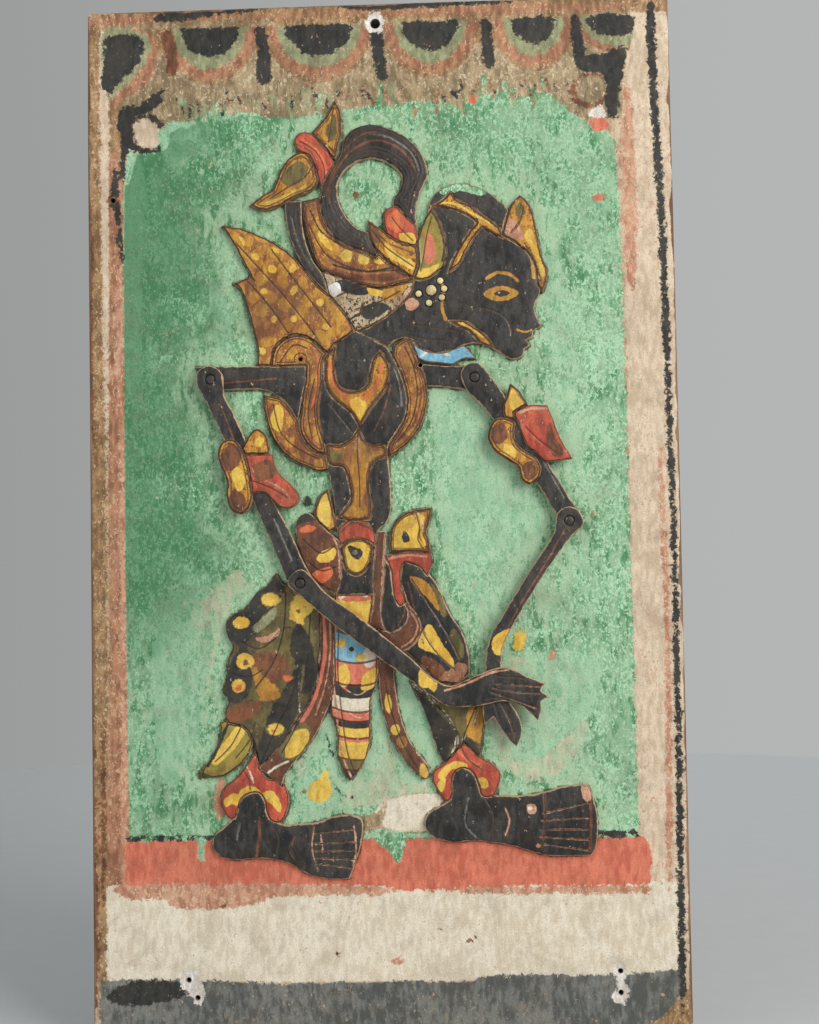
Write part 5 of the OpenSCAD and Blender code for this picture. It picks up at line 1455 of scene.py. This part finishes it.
# %% The anklets and the feet
carve("left_anklet", "panel", "red_paint", swell=0.6, edge=1.2,
      marks=[("yellow", patch((-93, 140), (-88, 144), (-83, 141), (-84, 137), (-89, 138), (-92, 136))),
             ("yellow", patch((-86, 142), (-80, 148), (-73, 146), (-72, 141), (-79, 143), (-84, 139))),
             ("yellow", patch((-71, 144), (-65, 145), (-61, 139), (-61, 133), (-65, 137), (-69, 140))),
             ("cream", stroke(0.9, (-82, 163), (-78, 156), (-76, 150)))],
      cuts=[gouge(0.5, 0.8, (-84, 160), (-79, 152), (-78, 146))])
carve("right_anklet", "panel", "red_paint", swell=0.6, edge=1.2,
      marks=[("yellow", patch((29, 153), (33, 158), (40, 161), (46, 159), (44, 156), (37, 156), (32, 150))),
             ("yellow", patch((29, 148), (33, 153), (33, 147), (30, 143))),
             ("yellow", patch((52, 151), (56, 151), (58, 147), (55, 145), (52, 147))),
             ("orange", stroke(1.6, (40, 168), (45, 162), (52, 159)))],
      cuts=[gouge(0.5, 0.8, (42, 170), (46, 162), (54, 156))])
FOOT = {"swell": 0.55, "edge": 1.2}
LEFT_TOES = [((-41, tip + rise), (-19, tip)) for tip, rise in ((123, -2), (116, -1), (111, 0), (106, 1), (101, 3))]
carve("left_foot", "panel", "black_paint", **FOOT,
      marks=[("pink", stroke(0.8, *ends)) for ends in LEFT_TOES]
      + [("brown", stroke(1.5, (-73, 130), (-73, 120), (-75, 108))), ("pink", stroke(0.8, (-37, 112), (-38, 120))),
         ("brown", stroke(0.9, (-53, 119), (-55, 113), (-53, 107))), ("slate", stroke(1.0, (-86, 118), (-84, 127))),
         ("pink", stroke(0.9, (-42, 125), (-43, 112), (-40, 100))),
         ("pink", stroke(1.0, (-19, 125), (-18, 112), (-20, 101)))],
      cuts=[gouge(0.75, 0.8, *ends) for ends in LEFT_TOES]
      + [gouge(0.5, 0.8, (-42, 125), (-44, 112), (-40, 100)), gouge(0.5, 0.9, (-53, 120), (-56, 113), (-53, 106)),
         gouge(0.4, 0.9, (-66, 126), (-62, 118), (-64, 108))])
RIGHT_TOES = [((88, 131), (115, 137)), ((87, 127), (114, 128.5)), ((86, 122), (114, 122)), ((86, 118), (114, 116)),
              ((87, 114), (114, 110))]
carve("right_foot", "panel", "black_paint", **FOOT,
      marks=[("pink", stroke(0.8, *ends)) for ends in RIGHT_TOES]
      + [("brown", stroke(1.3, (89, 143), (89, 128), (87, 112))),
         ("brown", stroke(1.6, (114, 146), (115, 128), (114, 110))),
         ("pink", patch((110, 147), (116, 147), (115, 138), (111, 139))),
         ("pink", patch((79, 136), (84, 136), (84, 131), (80, 131))),
         ("pink", stroke(1.0, (67, 134), (69, 127), (67, 119))), ("gesso", oval(81, 134, 1.6, 1.0)),
         ("slate", stroke(1.0, (46, 140), (44, 126), (50, 118))), ("pink", oval(85, 113, 1.4, 1.0))],
      cuts=[gouge(0.75, 0.8, *ends) for ends in RIGHT_TOES]
      + [gouge(0.55, 0.9, (89, 144), (89, 128), (87, 111)), gouge(0.5, 0.9, (67, 135), (70, 127), (67, 118)),
         gouge(0.4, 0.9, (54, 142), (60, 130), (58, 118))])
print("carved triangles so far:", total_triangles)

# %% [markdown]
# What repeats is made with Geometry Nodes: the six pearls of the ear ornament and the heads and shanks of the four
# pegs. Each point of a small cloud carries its own radius and length, and one tree turns it into a domed peg. The
# tree ends by making the copies real, as only real meshes can be kept.

# %% Geometry Nodes: domed pegs on points
def peg_tree(material):
    """A tree that puts a domed head on a straight shank at each point, along y."""
    tree = bpy.data.node_groups.new("domed pegs", "GeometryNodeTree")
    for label, direction, kind in (("Geometry", "INPUT", "Geometry"), ("Shank radius", "INPUT", "Float"),
                                   ("Shank length", "INPUT", "Float"), ("Dome", "INPUT", "Float"),
                                   ("Geometry", "OUTPUT", "Geometry")):
        tree.interface.new_socket(label, in_out=direction, socket_type="NodeSocket" + kind)
    g = Bench(tree)
    given, made = g.add("NodeGroupInput").outputs, g.add("NodeGroupOutput").inputs
    ball = g.add("GeometryNodeMeshUVSphere", {"Segments": 28, "Rings": 16, "Radius": 1.0}).outputs[0]
    upright = g.add("GeometryNodeTransform", {"Geometry": ball, "Rotation": (math.pi / 2, 0, 0)}).outputs[0]
    size = g.add("GeometryNodeInputNamedAttribute", {"Name": "radius_m"}, data_type="FLOAT").outputs[0]
    depth = g.times(size, given["Dome"])
    scale = g.add("ShaderNodeCombineXYZ", {0: size, 1: depth, 2: size}).outputs[0]
    heads = g.add("GeometryNodeInstanceOnPoints", {"Points": given["Geometry"], "Instance": upright,
                                                   "Scale": scale}).outputs[0]
    shank = g.add("GeometryNodeMeshCylinder", {"Vertices": 24, "Radius": given["Shank radius"],
                                               "Depth": given["Shank length"]}).outputs[0]
    half = g.times(given["Shank length"], 0.5)
    lie = g.add("GeometryNodeTransform", {"Geometry": shank, "Rotation": (math.pi / 2, 0, 0),
                                          "Translation": g.add("ShaderNodeCombineXYZ",
                                                               {1: half}).outputs[0]}).outputs[0]
    shanks = g.add("GeometryNodeInstanceOnPoints", {"Points": given["Geometry"], "Instance": lie}).outputs[0]
    joined = g.add("GeometryNodeJoinGeometry")
    tree.links.new(heads, joined.inputs[0])
    tree.links.new(shanks, joined.inputs[0])
    real = g.add("GeometryNodeRealizeInstances", {"Geometry": joined.outputs[0]}).outputs[0]
    smooth = g.add("GeometryNodeSetShadeSmooth", {"Geometry": real}).outputs[0]
    painted_now = g.add("GeometryNodeSetMaterial", {"Geometry": smooth, "Material": material}).outputs[0]
    g.put(made[0], painted_now)
    return tree


def pegs(name, node, body, slot, centres, shank_radius, shank_length, dome):
    """Domed pegs at centres (x, y, z, head radius) in mm, as one plain mesh that replaces a node."""
    cloud = bpy.data.meshes.new(name)
    cloud.from_pydata([tuple(v * MM for v in c[:3]) for c in centres], [], [])
    cloud.attributes.new("radius_m", "FLOAT", "POINT").data.foreach_set("value", [c[3] * MM for c in centres])
    piece = bpy.data.objects.new(name, cloud)
    bpy.context.scene.collection.objects.link(piece)
    tree = peg_tree(PAINT[slot])
    modifier = piece.modifiers.new("domed pegs", "NODES")
    modifier.node_group = tree
    wanted = {"Shank radius": shank_radius * MM, "Shank length": shank_length * MM, "Dome": dome}
    for socket in tree.interface.items_tree:
        if socket.in_out == "INPUT" and socket.name in wanted:
            modifier[socket.identifier] = wanted[socket.name]
    evaluated = piece.evaluated_get(bpy.context.evaluated_depsgraph_get())
    plain = bpy.data.meshes.new_from_object(evaluated)
    piece.modifiers.clear()
    piece.data = plain
    edge = plain.attributes.new("edge_mm", "FLOAT", "POINT")
    edge.data.foreach_set("value", np.full(len(plain.vertices), 3.0, np.float32))
    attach(piece, body)
    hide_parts(node)
    print(name, "triangles:", sum(len(p.vertices) - 2 for p in plain.polygons))
    return piece


# %% The pearls of the ear, the pegs of the joints, and the washer
pearl_loops, pearl_front, pearl_back = front_loops("ear_pearls")
DOME_DEPTH = 0.32
pearls = []
for loop in pearl_loops:
    px, pz = loop.mean(0)
    radius = np.ptp(loop[:, 0]) / 2
    pearls.append((px, pearl_front + radius * DOME_DEPTH + 0.02, pz, radius))
pegs("ear_ornament", "ear_pearls", "panel", "pearl_paint", pearls, 1.2, pearl_back - pearl_front - 1.2, DOME_DEPTH)

HEAD_DOME = 0.28
for node, body in (("shoulder_pins", "panel"), ("left_elbow_pin", "left_upper_arm"),
                   ("right_elbow_pin", "right_upper_arm")):
    peg_loops, peg_front, peg_back = front_loops(node)
    heads = [(*loop.mean(0), np.ptp(loop[:, 0]) / 2) for loop in peg_loops]
    length = peg_back - peg_front - 0.9
    pegs(node + "_turned", node, body, "pin_paint",
         [(px, peg_front + r * HEAD_DOME + 0.03, pz, r) for px, pz, r in heads], 1.48, length - 0.2, HEAD_DOME)

carve("left_elbow_washer", "left_upper_arm", "bare_wood", swell=0.1, edge=0.3, step=0.8)

# %% [markdown]
# The panel is shown standing on a plain pale floor in soft studio light. One wide light from the front and right
# does most of the work, as the thin shadows to the left of the carving tell. A paler one fills from the left, and
# the room's even grey does the rest, so the matt paint shows its true colours.

# %% Floor, lights and room
floor_paint = start_material("floor")
speckle = floor_paint.noise(20, 4, 0.6)
floor_colour = floor_paint.mix(speckle, tone(178, 181, 182), tone(184, 187, 188))
new_material("floor", floor_colour, 0.8, speckle, strength=0.05)
bpy.ops.mesh.primitive_circle_add(vertices=96, radius=1.3, fill_type="NGON", location=(0, 0, 0))
floor = bpy.context.object
floor.name = "floor"
floor.data.materials.append(bpy.data.materials["floor"])


def soft_light(name, place, aim, size, power, colour=(1, 1, 1)):
    lamp = bpy.data.lights.new(name, "AREA")
    lamp.shape, lamp.size, lamp.size_y = "RECTANGLE", size[0], size[1]
    lamp.energy, lamp.color = power, colour
    holder = bpy.data.objects.new(name, lamp)
    holder.location = place
    holder.rotation_euler = (Vector(aim) - Vector(place)).to_track_quat("-Z", "Y").to_euler()
    bpy.context.scene.collection.objects.link(holder)


CHEST = (0, 0, 0.32)
soft_light("window", (1.3, -1.3, 1.1), CHEST, (1.0, 1.2), 34, (1.0, 0.98, 0.95))
soft_light("fill", (-1.5, -1.4, 0.7), CHEST, (1.4, 1.4), 12, (0.95, 0.98, 1.0))
soft_light("back", (0.4, 1.7, 1.2), CHEST, (1.4, 1.2), 9)

world = bpy.data.worlds.new("room")
world.use_nodes = True
room = Bench(world.node_tree)
background = world.node_tree.nodes["Background"]
sideways = room.add("ShaderNodeSeparateXYZ", {0: room.add("ShaderNodeTexCoord").outputs["Generated"]}).outputs[0]
room.put(background.inputs["Color"],
         room.mix(room.cut(sideways, -0.45, 0.25), tone(152, 154, 154), tone(180, 182, 181)))
background.inputs["Strength"].default_value = 1.0
bpy.context.scene.world = world
bpy.context.scene.view_settings.view_transform = "Standard"
bpy.context.scene.view_settings.look = "None"

# %% The count of triangles, and the end
print("all triangles:", total_triangles)
